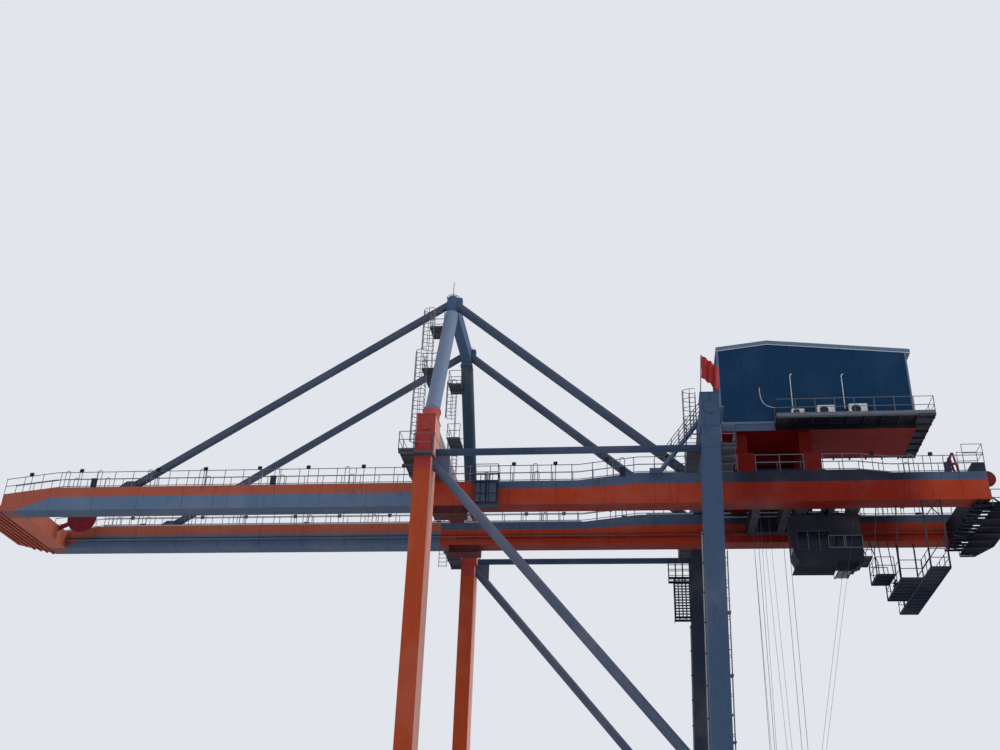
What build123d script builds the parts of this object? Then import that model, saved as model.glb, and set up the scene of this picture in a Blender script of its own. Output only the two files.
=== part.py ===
from build123d import *
import os

# A rail-mounted quay crane with fixed boom, as a 1:2 scale model in millimetres.
# While it is built, X = 0 is the waterside leg line, +X points to the landside,
# Y = 0 is the middle plane between the two girders, and Z = 0 is the rail head.

# Portal
rail_gauge = 8000.0
leg_spacing = 9620.0
waterside_leg_width = 490.0
landside_leg_width = 530.0
leg_depth = 815.0
waterside_leg_top = 15700.0
landside_leg_top = 16210.0
landside_leg_lean = 225.0
leg_cap_thickness = 25.0
leg_cap_lip = 15.0
leg_flange_thickness = 30.0
leg_flange_lip = 12.0
waterside_head_bottom = 14400.0
waterside_head_step = 65.0
waterside_flange_height = 15050.0
landside_flange_height = 15130.0
landside_lower_flange_height = 14470.0
waterside_boss_radius = 145.0
waterside_boss_height = 15310.0
landside_boss_radius = 185.0
landside_boss_height = 15715.0
boss_thickness = 40.0

# Sill beams and travel gear
sill_bottom = 1050.0
sill_height = 750.0
sill_width = 500.0
sill_overhang = 1300.0
wheel_radius = 157.5
wheel_tread_width = 90.0
wheel_flange_radius = 180.0
wheel_flange_width = 15.0
axle_radius = 45.0
axle_clearance = 0.3
wheel_pitch = 800.0
bogie_pitch = 1550.0
bogie_length = 1250.0
bogie_plate = 40.0
bogie_side_gap = 8.0
bogie_bottom = 110.0
bogie_top = 430.0
saddle_height = 60.0
saddle_length = 260.0
equaliser_width = 300.0
equaliser_end_height = 190.0
equaliser_mid_height = 360.0
buffer_radius = 70.0
buffer_length = 220.0
buffer_height = 1425.0

# Portal beams and pipe bracing
portal_beam_bottom = 4675.0
portal_beam_height = 650.0
portal_beam_width = 450.0
tie_height = 14626.0
tie_radius = 104.0
diagonal_radius = 140.0
diagonal_head_drop = 51.0
diagonal_foot_height = 5250.0
gusset_thickness = 30.0
gusset_length = 480.0

# Upper cross beams, which carry the girders on hangers
waterside_cross_beam_height = 560.0
landside_cross_beam_height = 650.0
cross_beam_width = 490.0
cross_beam_cap_gap = 15.0
hanger_length = 500.0

# A-frame
post_radius = 225.0
post_foot_offset = 60.0
post_foot_x = 60.0
collar_radius = 258.0
collar_length = 420.0
collar_rim = 18.0
collar_rim_thickness = 30.0
node_half_spacing = 1800.0
node_radius = 206.0
node_bottom = 21110.0
node_height = 740.0
node_crown_chamfer = 60.0
node_ring_lip = 24.0
node_ring_thickness = 50.0
apex_beam_half_width = 170.0
apex_beam_base = 20.0
apex_beam_crown = 30.0
apex_arch_rise = 150.0
apex_haunch = 450.0
stay_lug_reach = 330.0
stay_lug_half_width = 110.0
stay_lug_half_height = 260.0
rod_radius = 12.0
rod_height = 620.0

# Stays
stay_head_drop = 210.0
stay_foot_spacing = 1775.0
fore_stay_size = 190.0
fore_stay_foot = -10389.0
back_stay_radius = 150.0
back_stay_foot = 7746.0
stay_overrun = 500.0
stay_bracket_height = 260.0
stay_bracket_length = 330.0
stay_bracket_thickness = 30.0
stay_bracket_gap = 20.0

# Girders
girder_bottom = 14075.0
girder_width = 625.0
girder_gap = 2920.0
boom_depth = 785.0
boom_taper_start = -12750.0
boom_tip = -14450.0
boom_tip_depth = 575.0
back_depth = 1010.0
haunch_start = 4300.0
haunch_end = 6150.0
taper_start = 12750.0
taper_end = 13750.0
end_depth = 895.0
girder_end = 16450.0
ledge_width = 220.0
ledge_thickness = 30.0
ledge_height = 230.0
rail_width = 36.0
rail_height = 65.0
rail_inset = 70.0

# Boom end, landside end and their sheaves
end_beam_width = 620.0
end_beam_depth = 540.0
nose_length = 1550.0
nose_rise = 360.0
nose_thickness = 180.0
back_beam_width = 420.0
back_beam_depth = 600.0
tip_sheave_radius = 520.0
tip_sheave_x = -13070.0
tip_sheave_y = 700.0
tip_sheave_height = 14900.0
tip_sheave_arm = 160.0
end_sheave_radius = 250.0
end_sheave_x = 16530.0
end_sheave_height = 14840.0
sheave_width = 60.0
seat_start = -225.0
seat_end = 800.0
seat_depth = 250.0
end_platform_length = 850.0
end_platform_drop = 225.0
end_platform_side_length = 500.0
end_platform_shoulder = 1130.0
end_platform_front = 250.0
end_hanger = 80.0
raised_deck_length = 470.0
raised_deck_height = 300.0
raised_deck_slope = 110.0
raised_deck_margin = 60.0

# Machinery house
house_start = 8860.0
house_end = 14900.0
house_half_width = 1100.0
house_floor = 16900.0
house_frame_height = 250.0
house_waterside_eave = 19840.0
house_ridge = 20050.0
house_ridge_position = 10500.0
house_landside_eave = 19600.0
roof_thickness = 150.0
roof_overhang = 30.0
roof_landside_overhang = 150.0
trestle_beam_height = 600.0
trestle_beam_width = 500.0
trestle_positions = [9450.0, 11450.0]
trestle_column = 380.0
trestle_column_spacing = 1500.0
walkway_width = 520.0
walkway_start = 10550.0
deck_thickness = 25.0
unit_positions = [11270.0, 12150.0, 13150.0]
unit_lengths = [400.0, 540.0, 560.0]
unit_heights = [260.0, 370.0, 400.0]
unit_depth = 190.0
unit_wall_gap = 60.0

# Trolley, cab, ropes and spreader
trolley_start = 9650.0
trolley_end = 12900.0
trolley_bottom = 14250.0
trolley_depth = 430.0
trolley_side_gap = 60.0
trolley_beam = 240.0
trolley_wheel_radius = 125.0
trolley_wheel_width = 64.0
trolley_wheel_inset = 350.0
rail_clearance = 0.3
cab_carrier_width = 160.0
cab_start = 10850.0
cab_end = 12150.0
cab_half_width = 480.0
cab_bottom = 12640.0
cab_front_step = 190.0
cab_front_slope = 430.0
cab_wall = 40.0
cab_sill_height = 480.0
cab_window_height = 620.0
cab_corner_post = 140.0
cab_front_post = 120.0
rope_radius = 7.0
rope_half_spacing_x = 460.0
rope_half_spacing_y = 620.0
lift_centre = 10250.0
headblock_bottom = 4440.0
headblock_height = 260.0
headblock_length = 1500.0
headblock_width = 1100.0
spreader_top = 4400.0
spreader_height = 280.0
spreader_length = 6096.0
spreader_width = 1219.0
spreader_beam = 150.0
hanging_pin = 160.0
twistlock_inset_y = 51.75
twistlock_inset_x = 44.75
twistlock_radius = 22.0
twistlock_drop = 60.0

# Galleries, ladders and stairs
gallery_deck = 30.0
gallery_top = 14600.0
gallery_outer_y = 5235.0
gallery_inner_gap = 15.0
waterside_gallery_width = 495.0
landside_gallery_left_start_y = 4650.0
landside_gallery_left_end_y = 3220.0
landside_gallery_left_width = 400.0
landside_gallery_right_end_y = 3320.0
landside_gallery_right_width = 440.0
leg_shelf_depth = 280.0
ladder_width = 230.0
ladder_rail = 20.0
rung_pitch = 150.0
rung_size = 10.0
ladder_above_deck = 550.0
post_ladder_x = -450.0
flights_y = [3365.0, 2560.0]
landing_tops = [18320.0, 20350.0]
landing_ends = [1950.0, 1650.0]
landing_thickness = 40.0
landing_width = 480.0
landing_back = -140.0
stair_foot_x = 6820.0
stair_head_x = 8340.0
stair_width = 340.0
stair_tread = 110.0
stair_rise = 110.0
stair_plate = 15.0
stair_stringer = 90.0
stair_foot_deck = 320.0
balcony_depth = 360.0
handrail_height = 550.0
handrail_bar = 22.0
handrail_pitch = 625.0
handrail_gap = 20.0
fit_gap = 0.3

# Platforms hung under the landside end
gangway_start = 14430.0
gangway_end = 15010.0
gangway_far_end = 2540.0
gangway_top = 12020.0
gangway_thickness = 60.0
side_deck_start = 13790.0
side_deck_half_width = 1100.0
step_deck_start = 13230.0
step_deck_half_width = 500.0
step_deck_top = 12330.0
step_riser_half_width = 200.0
step_riser_thickness = 40.0
hanger_post = 45.0
hanger_lap = 200.0

# Station beside the near girder
station_start = 1100.0
station_end = 1870.0
station_reach = 420.0
station_floor = 13930.0
cabinet_inset = 60.0
cabinet_height = 740.0

# Flag
pole_radius = 15.0
pole_height = 1270.0
pole_x = 7985.0
pole_lean = 68.0
pole_y = -5120.0
flag_hoist = 740.0
flag_length = 560.0
flag_drop = 320.0
flag_fall = 140.0
flag_thickness = 12.0
flag_gap = 0.3
flag_head_gap = 15.0

# Values that follow from the sizes above
leg_line = leg_spacing / 2
leg_inner = leg_line - leg_depth / 2
leg_outer = leg_line + leg_depth / 2
waterside_leg_face = waterside_leg_width / 2
waterside_head_face = waterside_leg_face + waterside_head_step
landside_leg_face = rail_gauge - landside_leg_width / 2
portal_beam_top = portal_beam_bottom + portal_beam_height
sill_top = sill_bottom + sill_height
diagonal_head_height = tie_height - diagonal_head_drop
node_top = node_bottom + node_height
apex_beam_bottom = node_bottom + apex_beam_base
apex_beam_top = node_top - apex_beam_crown
stay_head_height = node_top - stay_head_drop
equaliser_bottom = bogie_top + saddle_height
equaliser_top = equaliser_bottom + equaliser_mid_height
bogie_half_gap = wheel_tread_width / 2 + wheel_flange_width + bogie_side_gap
bogie_half_width = bogie_half_gap + bogie_plate
waterside_cross_beam_top = waterside_leg_top - leg_cap_thickness - cross_beam_cap_gap
landside_cross_beam_top = landside_leg_top - leg_cap_thickness - cross_beam_cap_gap
girder_inner = girder_gap / 2
girder_outer = girder_inner + girder_width
girder_middle = girder_inner + girder_width / 2
boom_top = girder_bottom + boom_depth
back_top = girder_bottom + back_depth
end_top = girder_bottom + end_depth
ledge_top = girder_bottom + ledge_height
rail_line = girder_inner - ledge_width + rail_inset
rail_top = ledge_top + rail_height
nose_end = boom_tip - nose_length
landside_end = girder_end + end_platform_length
house_base = house_floor + house_frame_height
shift_x = -(nose_end + landside_end) / 2
both_sides = (-1, 1)
disc_sides = 24
wheel_sides = 12
pin_sides = 8


def block(x, y, z):
    """A box between two limits along each axis, given in either order."""
    limits = [sorted(pair) for pair in (x, y, z)]
    sizes = [high - low for low, high in limits]
    middles = [(high + low) / 2 for low, high in limits]
    return Pos(*middles) * Box(*sizes)


def side_profile(points, y):
    """An outline in X and Z, extruded between two Y values."""
    low, high = sorted(y)
    plane = Plane((0, high, 0), x_dir=(1, 0, 0), z_dir=(0, -1, 0))
    face = make_face(Polyline(*points, close=True))
    return extrude(plane * face, amount=high - low)


def front_profile(points, x):
    """An outline in Y and Z, extruded between two X values."""
    plane = Plane((x[0], 0, 0), x_dir=(0, 1, 0), z_dir=(1, 0, 0))
    face = make_face(Polyline(*points, close=True))
    return extrude(plane * face, amount=x[1] - x[0])


def plan_profile(points, z):
    """An outline in X and Y, extruded between two heights."""
    face = make_face(Polyline(*points, close=True))
    return extrude(Plane((0, 0, z[0])) * face, amount=z[1] - z[0])


def strut(start, end, section):
    """A straight bar of a given section from one point to another."""
    axis = Vector(*end) - Vector(*start)
    plane = Plane(origin=start, z_dir=axis)
    return extrude(plane * section, amount=axis.length)


def round_section(radius, sides):
    """A circle, or a polygon where many small rounds would be too fine."""
    return RegularPolygon(radius, sides) if sides else Circle(radius)


def rod_along_x(radius, x, y, z, sides=0):
    """A round bar along X between two X values."""
    low, high = sorted(x)
    plane = Plane((low, y, z), x_dir=(0, 1, 0), z_dir=(1, 0, 0))
    return extrude(plane * round_section(radius, sides), amount=high - low)


def rod_along_y(radius, x, y, z, sides=0):
    """A round bar along Y between two Y values."""
    low, high = sorted(y)
    plane = Plane((x, low, z), x_dir=(1, 0, 0), z_dir=(0, 1, 0))
    return extrude(plane * round_section(radius, sides), amount=high - low)


def rod_along_z(radius, x, y, z, sides=0):
    """A round bar along Z between two heights."""
    return extrude(Plane((x, y, z[0])) * round_section(radius, sides), amount=z[1] - z[0])


def save(name, *shapes):
    """Write one node, moved so that the whole crane is centred on X = 0."""
    solids = [solid for shape in shapes for solid in shape.solids()]
    moved = [solid.moved(Location((shift_x, 0, 0))) for solid in solids]
    node = moved[0] if len(moved) == 1 else Compound(children=moved)
    export_step(node, f"parts/{name}.step")


def leg_sides(side):
    """A leg's inner and outer face, as Y."""
    return (side * leg_inner, side * leg_outer)


def band(x, side, z, lip):
    """A plate round a leg that stands out by a lip on all four sides."""
    y = (side * (leg_inner - lip), side * (leg_outer + lip))
    return block((x[0] - lip, x[1] + lip), y, z)


def flange(x, side, height):
    """A bolted flange round a leg."""
    return band(x, side, (height, height + leg_flange_thickness), leg_flange_lip)


def cap(x, side, top):
    """The plate that closes a leg's top."""
    return band(x, side, (top - leg_cap_thickness, top), leg_cap_lip)


def boss(x, side, radius, height):
    """A round disc on a leg's outer face."""
    y = (side * leg_outer, side * (leg_outer + boss_thickness))
    return rod_along_y(radius, (x[0] + x[1]) / 2, y, height, disc_sides)


def waterside_leg(side):
    """A straight box column with a head that is wider towards the landside."""
    column_x = (-waterside_leg_face, waterside_leg_face)
    column = block(column_x, leg_sides(side), (sill_top, waterside_head_bottom))
    head_x = (-waterside_leg_face, waterside_head_face)
    head = block(head_x, leg_sides(side), (waterside_head_bottom, waterside_leg_top - leg_cap_thickness))
    leg = column + head + cap(head_x, side, waterside_leg_top)
    for height in (waterside_head_bottom, waterside_flange_height):
        leg += flange(head_x, side, height)
    return leg + boss(head_x, side, waterside_boss_radius, waterside_boss_height)


def landside_leg_middle(z):
    """The landside leg's centre line: upright up to the portal beam, leaning out above it."""
    risen = max(0.0, z - portal_beam_top) / (landside_leg_top - portal_beam_top)
    return rail_gauge + landside_leg_lean * risen


def landside_leg_x(z):
    """The landside leg's two faces at a height, as X."""
    half = landside_leg_width / 2
    return (landside_leg_middle(z) - half, landside_leg_middle(z) + half)


def landside_leg(side):
    """A box column that leans slightly outwards above the portal beam."""
    heights = (sill_top, portal_beam_top, landside_leg_top - leg_cap_thickness)
    outline = [(landside_leg_x(z)[0], z) for z in heights]
    outline += [(landside_leg_x(z)[1], z) for z in reversed(heights)]
    leg = side_profile(outline, leg_sides(side))
    for height in (landside_lower_flange_height, landside_flange_height):
        leg += flange(landside_leg_x(height), side, height)
    leg += boss(landside_leg_x(landside_boss_height), side, landside_boss_radius, landside_boss_height)
    return leg + cap(landside_leg_x(landside_leg_top), side, landside_leg_top)


def sill_beam(x):
    """The beam that joins two legs along the rail, with a pivot lug over each equaliser."""
    half_length = leg_line + sill_overhang
    half_width = sill_width / 2
    beam = block((x - half_width, x + half_width), (-half_length, half_length), (sill_bottom, sill_top))
    for side in both_sides:
        y = side * leg_line
        lug_x = (x - equaliser_width / 2, x + equaliser_width / 2)
        lug_y = (y - saddle_length, y + saddle_length)
        beam += block(lug_x, lug_y, (equaliser_top, sill_bottom))
    return beam


def equaliser(x, y):
    """A rocking beam, deep in the middle, over two bogies."""
    half = bogie_pitch / 2 + saddle_length / 2
    shoulder = saddle_length
    low = equaliser_bottom
    outline = [
        (y - half, low),
        (y + half, low),
        (y + half, low + equaliser_end_height),
        (y + shoulder, low + equaliser_mid_height),
        (y - shoulder, low + equaliser_mid_height),
        (y - half, low + equaliser_end_height),
    ]
    return front_profile(outline, (x - equaliser_width / 2, x + equaliser_width / 2))


def bogie(x, y):
    """An inverted channel over two wheels, with axle holes and a saddle on top."""
    half_length = bogie_length / 2
    outside = (x - bogie_half_width, x + bogie_half_width)
    inside = (x - bogie_half_gap, x + bogie_half_gap)
    along = (y - half_length, y + half_length)
    frame = block(outside, along, (bogie_bottom, bogie_top))
    frame -= block(inside, along, (bogie_bottom, bogie_top - bogie_plate))
    for side in both_sides:
        axle_y = y + side * wheel_pitch / 2
        frame -= rod_along_x(axle_radius + axle_clearance, outside, axle_y, wheel_flange_radius, pin_sides)
    saddle_y = (y - saddle_length / 2, y + saddle_length / 2)
    return frame + block(outside, saddle_y, (bogie_top, bogie_top + saddle_height))


def rail_wheel(x, y):
    """A double-flanged wheel with its axle."""
    tread = wheel_tread_width / 2
    edge = tread + wheel_flange_width
    z = wheel_flange_radius
    wheel = rod_along_x(wheel_radius, (x - tread, x + tread), y, z, wheel_sides)
    wheel += rod_along_x(wheel_flange_radius, (x - edge, x - tread), y, z, wheel_sides)
    wheel += rod_along_x(wheel_flange_radius, (x + tread, x + edge), y, z, wheel_sides)
    return wheel + rod_along_x(axle_radius, (x - bogie_half_width, x + bogie_half_width), y, z, pin_sides)


def bogie_places():
    """The centre of every bogie, as X and Y."""
    return [
        (x, side * leg_line + step * bogie_pitch / 2)
        for x in (0.0, rail_gauge)
        for side in both_sides
        for step in both_sides
    ]


def buffer(x, side):
    """A round end buffer on the end of a sill beam."""
    start = side * (leg_line + sill_overhang)
    end = start + side * buffer_length
    return rod_along_y(buffer_radius, x, (start, end), buffer_height, pin_sides)


def portal_beam(side):
    """The low beam between a waterside leg and a landside leg."""
    y = side * leg_line
    half = portal_beam_width / 2
    x = (waterside_leg_face, landside_leg_face)
    return block(x, (y - half, y + half), (portal_beam_bottom, portal_beam_top))


def tie_pipe(side):
    """The high level pipe between a waterside leg and a landside leg."""
    pipe = rod_along_x(tie_radius, (0, rail_gauge), side * leg_line, tie_height)
    return pipe - waterside_leg(side) - landside_leg(side)


def diagonal_pipe(side):
    """The long pipe that falls from under the tie to the landside leg, with its gusset plate."""
    y = side * leg_line
    head = (0, y, diagonal_head_height)
    foot = (rail_gauge, y, diagonal_foot_height)
    slope = (diagonal_foot_height - diagonal_head_height) / rail_gauge
    diagonal = strut(head, foot, Circle(diagonal_radius))
    corner_top = tie_height - tie_radius
    far_corner = waterside_leg_face + gusset_length
    outline = [
        (waterside_leg_face, corner_top),
        (far_corner, corner_top),
        (far_corner, diagonal_head_height + slope * far_corner),
        (waterside_leg_face, diagonal_head_height + slope * waterside_leg_face),
    ]
    gusset = side_profile(outline, (y - gusset_thickness / 2, y + gusset_thickness / 2))
    return (diagonal + gusset) - waterside_leg(side) - landside_leg(side) - portal_beam(side)


def cross_beam(x, top, height, girder_top):
    """A beam between two legs, with a hanger down to each girder."""
    half = cross_beam_width / 2
    bottom = top - height
    beam = block((x - half, x + half), (-leg_inner, leg_inner), (bottom, top))
    for side in both_sides:
        hanger_x = (x - hanger_length / 2, x + hanger_length / 2)
        beam += block(hanger_x, (side * girder_inner, side * girder_outer), (girder_top, bottom))
    return beam


def landside_cross_beam():
    """The cross beam at the landside legs."""
    middle = landside_leg_middle(landside_cross_beam_top - landside_cross_beam_height / 2)
    return cross_beam(middle, landside_cross_beam_top, landside_cross_beam_height, back_top)


def a_frame_post(side):
    """A pipe leaning in from the leg's cap to the apex, with a rimmed collar round its foot."""
    foot = Vector(post_foot_x, side * (leg_line - post_foot_offset), waterside_leg_top)
    head = Vector(0, side * node_half_spacing, node_bottom + post_radius)
    direction = (head - foot).normalized()
    low = foot - direction * collar_length
    rim_low = foot + direction * collar_length
    rim_high = rim_low + direction * collar_rim_thickness
    pipe = strut(low, head, Circle(post_radius))
    collar = strut(low, rim_low, RegularPolygon(collar_radius, disc_sides))
    rim = strut(rim_low, rim_high, RegularPolygon(collar_radius + collar_rim, disc_sides))
    reach = leg_line + leg_depth
    keep = block((-reach, reach), (-reach, reach), (waterside_leg_top, node_bottom))
    return (pipe + collar + rim) & keep


def apex_node(side):
    """The upright pipe that a post and two stays run into, with a ring, a crown and a stay lug."""
    y = side * node_half_spacing
    crown_base = node_top - node_crown_chamfer
    ring = (node_bottom, node_bottom + node_ring_thickness)
    node = rod_along_z(node_radius, 0, y, (node_bottom, crown_base), disc_sides)
    node += rod_along_z(node_radius + node_ring_lip, 0, y, ring, disc_sides)
    crown_low = Plane((0, y, crown_base)) * RegularPolygon(node_radius, disc_sides)
    crown_high = Plane((0, y, node_top)) * RegularPolygon(node_radius - node_crown_chamfer, disc_sides)
    node += loft([crown_low, crown_high])
    lug_y = (y - stay_lug_half_width, y + stay_lug_half_width)
    lug_z = (stay_head_height - stay_lug_half_height, stay_head_height + stay_lug_half_height / 2)
    return node + block((0, stay_lug_reach), lug_y, lug_z)


def apex_beam():
    """The arched beam between the two apex nodes, with a lightning rod on the near one."""
    end = node_half_spacing
    haunch = node_half_spacing - apex_haunch
    outline = [
        (-end, apex_beam_bottom),
        (-haunch, apex_beam_bottom + apex_arch_rise),
        (haunch, apex_beam_bottom + apex_arch_rise),
        (end, apex_beam_bottom),
        (end, apex_beam_top),
        (-end, apex_beam_top),
    ]
    beam = front_profile(outline, (-apex_beam_half_width, apex_beam_half_width))
    beam += apex_node(-1) + apex_node(1)
    rod = rod_along_z(rod_radius, 0, -node_half_spacing, (node_top, node_top + rod_height), pin_sides)
    return beam + rod


def stay(side, foot_x, foot_z, section):
    """A stay's bar, run on below its foot so that it can be cut flush there."""
    head = Vector(0, side * node_half_spacing, stay_head_height)
    foot = Vector(foot_x, side * stay_foot_spacing, foot_z)
    beyond = foot + (foot - head).normalized() * stay_overrun
    reach = boom_tip - nose_length
    above = block((reach, -reach), (-leg_line, leg_line), (foot_z, node_top))
    return strut(head, beyond, section) & above


def fore_stay(side):
    """A square stay from the apex to the boom."""
    bar = stay(side, fore_stay_foot, boom_top, Rectangle(fore_stay_size, fore_stay_size))
    return bar - apex


def back_stay(side):
    """A pipe stay from the apex to the foot of the landside hanger."""
    bar = stay(side, back_stay_foot, back_top, Circle(back_stay_radius))
    return bar - apex - landside_beam


def stay_bracket(side):
    """Two cheek plates on the boom, one each side of a fore stay's foot."""
    inner = fore_stay_size / 2 + stay_bracket_gap
    outer = inner + stay_bracket_thickness
    top = boom_top + stay_bracket_height
    outline = [
        (fore_stay_foot - stay_bracket_length, boom_top),
        (fore_stay_foot + stay_bracket_length, boom_top),
        (fore_stay_foot + stay_bracket_length, top),
        (fore_stay_foot, top),
    ]
    middle = side * stay_foot_spacing
    cheeks = [(middle + cheek * inner, middle + cheek * outer) for cheek in both_sides]
    return Compound(children=[side_profile(outline, y) for y in cheeks])


def rail_ledge(x, side):
    """The shelf on a girder's inner face that carries the trolley rail."""
    edges = (side * girder_inner, side * (girder_inner - ledge_width))
    return block(x, edges, (ledge_top - ledge_thickness, ledge_top))


boom_profile = [(boom_tip, girder_bottom + boom_tip_depth), (boom_taper_start, boom_top), (0, boom_top)]
back_profile = [
    (0, boom_top),
    (haunch_start, boom_top),
    (haunch_end, back_top),
    (taper_start, back_top),
    (taper_end, end_top),
    (girder_end, end_top),
]
nose_profile = [(nose_end, girder_bottom + nose_rise), (boom_tip, girder_bottom)]


def boom_girder(side):
    """The waterside girder, with its top tapering towards the tip."""
    outline = [(boom_tip, girder_bottom), *boom_profile, (0, girder_bottom)]
    girder = side_profile(outline, (side * girder_inner, side * girder_outer))
    return girder + rail_ledge((boom_tip + end_beam_width, 0), side)


def back_girder(side):
    """The landside girder, haunched up to its full depth."""
    outline = [(0, girder_bottom), *back_profile, (girder_end, girder_bottom)]
    girder = side_profile(outline, (side * girder_inner, side * girder_outer))
    return girder + rail_ledge((0, girder_end - back_beam_width), side)


def girder_seat(side):
    """The deep block under a girder at the waterside leg line."""
    edges = (side * girder_inner, side * girder_outer)
    return block((seat_start, seat_end), edges, (girder_bottom - seat_depth, girder_bottom))


def trolley_rail(side):
    """A flat bar rail on its ledge, over the whole length of both girders."""
    y = side * rail_line
    edges = (y - rail_width / 2, y + rail_width / 2)
    ends = (boom_tip + end_beam_width, girder_end - back_beam_width)
    return block(ends, edges, (ledge_top, rail_top))


def boom_end_beam():
    """The beam that joins the girder tips."""
    across = (-girder_inner, girder_inner)
    z = (girder_bottom, girder_bottom + end_beam_depth)
    return block((boom_tip, boom_tip + end_beam_width), across, z)


def nose_platform():
    """The rising platform in front of the girder tips."""
    top = [(x, z + nose_thickness) for x, z in reversed(nose_profile)]
    return side_profile(nose_profile + top, (-girder_outer, girder_outer))


def back_end_beam():
    """The beam that joins the girders at the landside end."""
    across = (-girder_inner, girder_inner)
    z = (girder_bottom, girder_bottom + back_beam_depth)
    return block((girder_end - back_beam_width, girder_end), across, z)


def end_platform():
    """The walkway hung behind the landside end of the girders, its corners cut off."""
    deck_low = girder_bottom - end_platform_drop
    deck_top = deck_low + deck_thickness
    half_outline = [
        (girder_end, girder_outer),
        (girder_end + end_platform_side_length, end_platform_shoulder),
        (landside_end, end_platform_front),
    ]
    outline = half_outline + [(x, -y) for x, y in reversed(half_outline)]
    deck = plan_profile(outline, (deck_low, deck_top))
    for side in both_sides:
        hanger_y = (side * girder_inner, side * (girder_inner + end_hanger))
        deck += block((girder_end, girder_end + end_hanger / 2), hanger_y, (deck_top, end_top))
    return deck


def raised_deck():
    """The raised deck on the near girder's landside end, with one sloping side."""
    start = girder_end - raised_deck_length
    top = end_top + raised_deck_height
    outline = [(start, end_top), (girder_end, end_top), (girder_end, top), (start + raised_deck_slope, top)]
    return side_profile(outline, (-girder_outer + raised_deck_margin, -girder_inner - raised_deck_margin))


def tip_sheave():
    """The large rope wheel between the girders at the boom's tip, on its stand from the end beam."""
    y = (tip_sheave_y, tip_sheave_y + sheave_width)
    wheel = rod_along_y(tip_sheave_radius, tip_sheave_x, y, tip_sheave_height, disc_sides)
    foot_x = boom_tip + end_beam_width
    foot_top = girder_bottom + end_beam_depth
    arm = [
        (foot_x, foot_top - tip_sheave_arm),
        (tip_sheave_x, tip_sheave_height - tip_sheave_arm / 2),
        (tip_sheave_x, tip_sheave_height + tip_sheave_arm / 2),
        (foot_x, foot_top),
    ]
    return wheel + side_profile(arm, y)


def end_sheave(side):
    """A rope wheel at the landside end of a girder, on a pin from the girder's end."""
    middle = side * girder_middle
    y = (middle - sheave_width / 2, middle + sheave_width / 2)
    wheel = rod_along_y(end_sheave_radius, end_sheave_x, y, end_sheave_height, disc_sides)
    behind = block((boom_tip, girder_end), (-leg_line, leg_line), (girder_bottom, back_top + end_sheave_radius))
    return wheel - behind


def height_at(profile, x):
    """The height of an outline's top at a place along X."""
    for (x0, z0), (x1, z1) in zip(profile, profile[1:]):
        if x0 <= x <= x1:
            return z0 + (z1 - z0) * (x - x0) / (x1 - x0)
    return profile[-1][1]


walk_profile = boom_profile[:-1] + back_profile[1:]


def walk_cut(start, end):
    """The walkway outline's points between two places along X, with both ends added."""
    inside = [(x, z) for x, z in walk_profile if start < x < end]
    return [(start, height_at(walk_profile, start)), *inside, (end, height_at(walk_profile, end))]


def handrail_spans(breaks):
    """The stretches of a girder's top between the things that stand across it."""
    edges = [boom_tip]
    for low, high in breaks:
        edges += [low - handrail_gap, high + handrail_gap]
    edges.append(girder_end)
    return list(zip(edges[::2], edges[1::2]))


def handrail(y, inward, breaks):
    """Two rails that follow a girder's top, with a post at each pitch on their outer side."""
    post_y = (y, y + inward * handrail_bar)
    rail_y = (y + inward * (handrail_bar + fit_gap), y + inward * (handrail_bar * 2 + fit_gap))
    solids = []
    for start, end in handrail_spans(breaks):
        line = walk_cut(start, end)
        for level in (handrail_height / 2, handrail_height - handrail_bar):
            low = [(x, z + level) for x, z in line]
            high = [(x, z + level + handrail_bar) for x, z in reversed(line)]
            solids.append(side_profile(low + high, rail_y))
        span = end - start - handrail_bar
        count = max(1, round(span / handrail_pitch))
        for step in range(count + 1):
            x = start + span * step / count
            foot = max(height_at(walk_profile, x), height_at(walk_profile, x + handrail_bar))
            solids.append(block((x, x + handrail_bar), post_y, (foot, foot + handrail_height)))
    return Compound(children=solids)


def machinery_house():
    """The closed body of the house under its double-pitched roof."""
    outline = [
        (house_start, house_base),
        (house_end, house_base),
        (house_end, house_landside_eave),
        (house_ridge_position, house_ridge),
        (house_start, house_waterside_eave),
    ]
    return side_profile(outline, (-house_half_width, house_half_width))


def house_roof():
    """The roof sheet with its deep fascia, lying on the walls."""
    start = house_start - roof_overhang
    end = house_end + roof_landside_overhang
    fall_left = (house_ridge - house_waterside_eave) / (house_ridge_position - house_start)
    fall_right = (house_ridge - house_landside_eave) / (house_end - house_ridge_position)
    left = house_waterside_eave - fall_left * roof_overhang
    right = house_landside_eave - fall_right * roof_landside_overhang
    low = [(start, left), (house_ridge_position, house_ridge), (end, right)]
    high = [(x, z + roof_thickness) for x, z in reversed(low)]
    half = house_half_width + roof_overhang
    return side_profile(low + high, (-half, half))


def house_frame():
    """The deep floor frame of the house."""
    return block((house_start, house_end), (-house_half_width, house_half_width), (house_floor, house_base))


def house_trestle(x):
    """A cross girder on both main girders, with two columns up to the house floor."""
    beam_top = back_top + trestle_beam_height
    half = trestle_beam_width / 2
    column = trestle_column / 2
    trestle = block((x - half, x + half), (-girder_outer, girder_outer), (back_top, beam_top))
    for side in both_sides:
        y = side * trestle_column_spacing / 2
        trestle += block((x - column, x + column), (y - column, y + column), (beam_top, house_floor))
    return trestle


def house_walkway():
    """The gallery round three sides of the house."""
    low = house_base - deck_thickness
    outer = house_half_width + walkway_width
    deck = block((walkway_start, house_end + walkway_width), (-outer, outer), (low, house_base))
    return deck - block((walkway_start, house_end), (-house_half_width, house_half_width), (low, house_base))


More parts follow.
